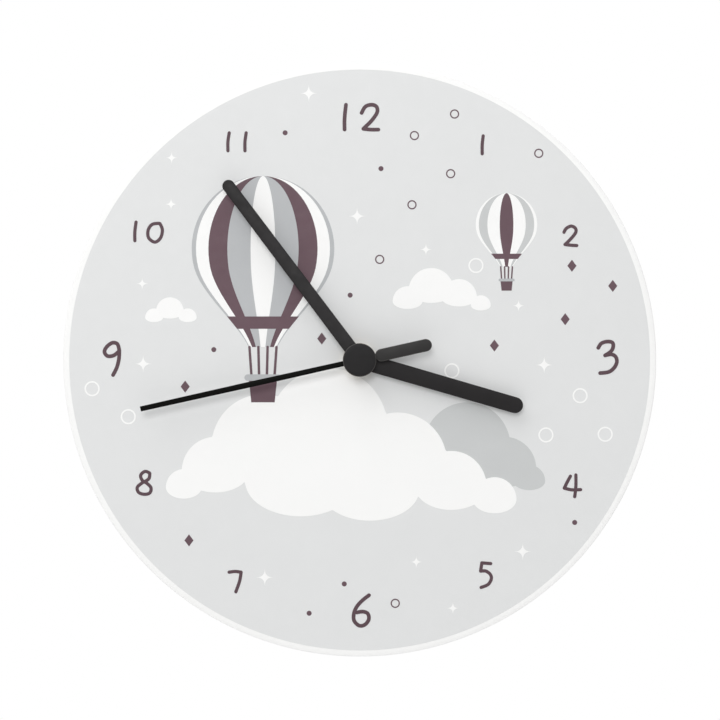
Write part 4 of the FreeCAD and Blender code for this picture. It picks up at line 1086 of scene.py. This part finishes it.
CATCH_HEIGHTS = (-18.0, 16.0)
CATCH_ROOT = 0.1
CATCH_RISE = 0.7
CATCH_ROOT_HALF = 3.0
CATCH_TIP_HALF = 2.6
CATCH_BACK = 0.9
CATCH_FRONT = 4.6
CATCH_ROUND = 0.3
CATCH_EDGE_PARTS = 3


def build_catches():
    """Catches on both sides of the case that hold the rear cover."""
    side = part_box("front_case")[1].x / MM
    shape = Shape()
    for height in CATCH_HEIGHTS:
        for sign in (-1, 1):
            root, tip = sign * (side - CATCH_ROOT), sign * (side + CATCH_RISE)
            outline = [(root, height - CATCH_ROOT_HALF), (tip, height - CATCH_TIP_HALF),
                       (tip, height + CATCH_TIP_HALF), (root, height + CATCH_ROOT_HALF)]
            if sign < 0:
                outline.reverse()
            rounds = (CATCH_ROUND, CATCH_ROUND, CATCH_EDGE_PARTS)
            shape.add(*slab(outline, CATCH_BACK, CATCH_FRONT, *rounds))
    shape.make("case_catches", "moulded_black", "root", "case_black", ROUND_SMOOTH)


RIVET_PLACES = (-5.0, 5.0)
RIVET_DEPTH = 6.0
HANGER_THICK = 1.0
# Radius and rise above the foot
RIVET_PROFILE = ((1.5, -0.05), (1.5, 0.12), (1.35, 0.38), (0.95, 0.6), (0.45, 0.7))
RIVET_PARTS = 32


def build_rivets():
    """Domed rivets that hold the hanger's foot on the case."""
    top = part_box("hanger")[0].z / MM + HANGER_THICK
    shape = Shape()
    for x in RIVET_PLACES:

        def about_rivet(across, up, along):
            """Place for a part that is turned about an upright axis."""
            return x + across, RIVET_DEPTH - up, top + along

        shape.add(*turned_part(RIVET_PROFILE, about_rivet, RIVET_PARTS))
    shape.make("hanger_rivets", "zinc_steel", "root", "steel", ROUND_SMOOTH)


# Finishes of the solids

SOLID_FINISHES = {
    "black_rubber": ("rubber_gasket",),
    "turned_brass": ("brass_washer", "threaded_bush", "shaft_nut", "second_pipe"),
    "moulded_black": ("front_case", "rear_cover"),
    "knob_black": ("setting_knob",),
    "zinc_steel": ("hanger",),
    "pale_nylon": ("train_bridge", "intermediate_wheel", "seconds_wheel", "third_wheel", "centre_wheel",
                   "cannon_pinion", "minute_wheel", "hour_wheel", "coil_bobbin"),
    "bright_steel": ("rotor_arbor", "seconds_arbor", "clutch_spring", "stator", "coil_core",
                     "quartz_crystal", "positive_contact", "negative_contact", "battery_cell"),
    "dark_magnet": ("rotor_magnet",),
    "copper_wire_painted_shading": ("coil_winding",),
    "green_laminate": ("circuit_board",),
    "epoxy_drop": ("chip_blob",),
    "board_white": ("dial_panel",),
    "hand_satin": ("hour_hand", "minute_hand", "second_hand"),
}
SOFT_EDGES = {"front_case": 0.25, "rear_cover": 0.25, "hanger": 0.2, "setting_knob": 0.12, "shaft_nut": 0.2}
SOFT_EDGE_SEGMENTS = 2
SOFT_EDGE_ANGLE = 50
WELD_GAP = 0.001


def finish_solids():
    """Give each solid its finish, and soften the edges of those that show."""
    finish_of = {name: finish for finish, names in SOLID_FINISHES.items() for name in names}
    for name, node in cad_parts.items():
        node.data.materials.clear()
        node.data.materials.append(finishes[finish_of[name]])
        weld = node.modifiers.new("weld", "WELD")
        weld.merge_threshold = WELD_GAP * MM
        if name in SOFT_EDGES:
            bevel = node.modifiers.new("bevel", "BEVEL")
            bevel.width = SOFT_EDGES[name] * MM
            bevel.segments = SOFT_EDGE_SEGMENTS
            bevel.limit_method = "ANGLE"
            bevel.angle_limit = math.radians(SOFT_EDGE_ANGLE)
            bevel.harden_normals = False


# Stage, light and camera: places and sizes in metres, power in watts, lens and sensor in millimetres

FLOOR_HALF_WIDE = 2.5
FLOOR_HALF_DEEP = 1.6
FLOOR_HEIGHT = -0.6
AMBIENT_STRENGTH = 0.46
LAMPS = {
    "key": dict(place=(-0.17, -1.85, 0.5), size=0.6, power=10.3),
    "side": dict(place=(-0.45, -0.42, 0.9), size=1.1, power=6.3),
    "back": dict(place=(0.7, 1.5, 1.0), size=0.8, power=13.0),
}
CAMERA_LENS = 120
CAMERA_SENSOR = 36
CAMERA_DISTANCE = 0.809
CAMERA_ACROSS = 0.00013


def add_item(name, data):
    """Put a light, camera or mesh in the scene."""
    item = bpy.data.objects.new(name, data)
    bpy.context.scene.collection.objects.link(item)
    return item


def build_stage():
    """Pale floor well below the clock, which hangs on nothing in view."""
    mesh = bpy.data.meshes.new("floor")
    sides = ((-1, -1), (1, -1), (1, 1), (-1, 1))
    corners = [(x * FLOOR_HALF_WIDE, y * FLOOR_HALF_DEEP, FLOOR_HEIGHT) for x, y in sides]
    mesh.from_pydata(corners, [], [(0, 1, 2, 3)])
    mesh.materials.append(finishes["floor_pale"])
    floor = add_item("floor", mesh)


def add_background(nodes, strength):
    """White light of a given strength from all round."""
    background = nodes.new("ShaderNodeBackground")
    background.inputs["Color"].default_value = (1, 1, 1, 1)
    background.inputs["Strength"].default_value = strength
    return background.outputs["Background"]


def build_world():
    """Even studio light, with white behind the clock and in its reflections."""
    world = bpy.data.worlds.new("studio")
    bpy.context.scene.world = world
    world.use_nodes = True
    nodes = world.node_tree.nodes
    links = world.node_tree.links
    nodes.clear()
    output = nodes.new("ShaderNodeOutputWorld")
    mix = nodes.new("ShaderNodeMixShader")
    path = nodes.new("ShaderNodeLightPath")
    straight = path.outputs["Is Camera Ray"]
    for ray in ("Is Glossy Ray", "Is Transmission Ray"):
        either = nodes.new("ShaderNodeMath")
        either.operation = "MAXIMUM"
        links.new(straight, either.inputs[0])
        links.new(path.outputs[ray], either.inputs[1])
        straight = either.outputs["Value"]
    links.new(straight, mix.inputs["Fac"])
    links.new(add_background(nodes, AMBIENT_STRENGTH), mix.inputs[1])
    links.new(add_background(nodes, 1), mix.inputs[2])
    links.new(mix.outputs["Shader"], output.inputs["Surface"])


def add_lamp(name, place, size, power):
    """A square lamp that faces the clock."""
    lamp = bpy.data.lights.new(name, "AREA")
    lamp.shape = "SQUARE"
    lamp.size = size
    lamp.energy = power
    item = add_item(name, lamp)
    item.location = place
    item.rotation_euler = (-Vector(place)).to_track_quat("-Z", "Y").to_euler()


def build_camera():
    """Camera square on to the dial."""
    data = bpy.data.cameras.new("camera")
    data.type = "PERSP"
    data.lens = CAMERA_LENS
    data.sensor_width = CAMERA_SENSOR
    camera = add_item("camera", data)
    camera.location = (CAMERA_ACROSS, -DIAL_FRONT * MM - CAMERA_DISTANCE, 0.0)
    camera.rotation_euler = (math.pi / 2, 0, 0)
    bpy.context.scene.camera = camera


build_board()
build_field()
build_clouds("print_cloud_far", FAR_CLOUDS, "ink_pale", FAR_CLOUD_LAYER)
build_clouds("print_cloud_near", NEAR_CLOUDS, "ink_white", NEAR_CLOUD_LAYER)
build_balloons()
build_marks()
build_numerals()
build_straight_hand("hour_blade", "hour_hand", "hour", HOUR_ANGLE, HOUR_SIZES)
build_straight_hand("minute_blade", "minute_hand", "minute", MINUTE_ANGLE, MINUTE_SIZES)
build_second_hub()
build_second_arm()
build_second_tail()
build_knob_arrow()
build_cell()
build_catches()
build_rivets()
finish_solids()
build_stage()
build_world()
for lamp_name, values in LAMPS.items():
    add_lamp(lamp_name, **values)
build_camera()
bpy.context.scene.view_settings.view_transform = "Standard"
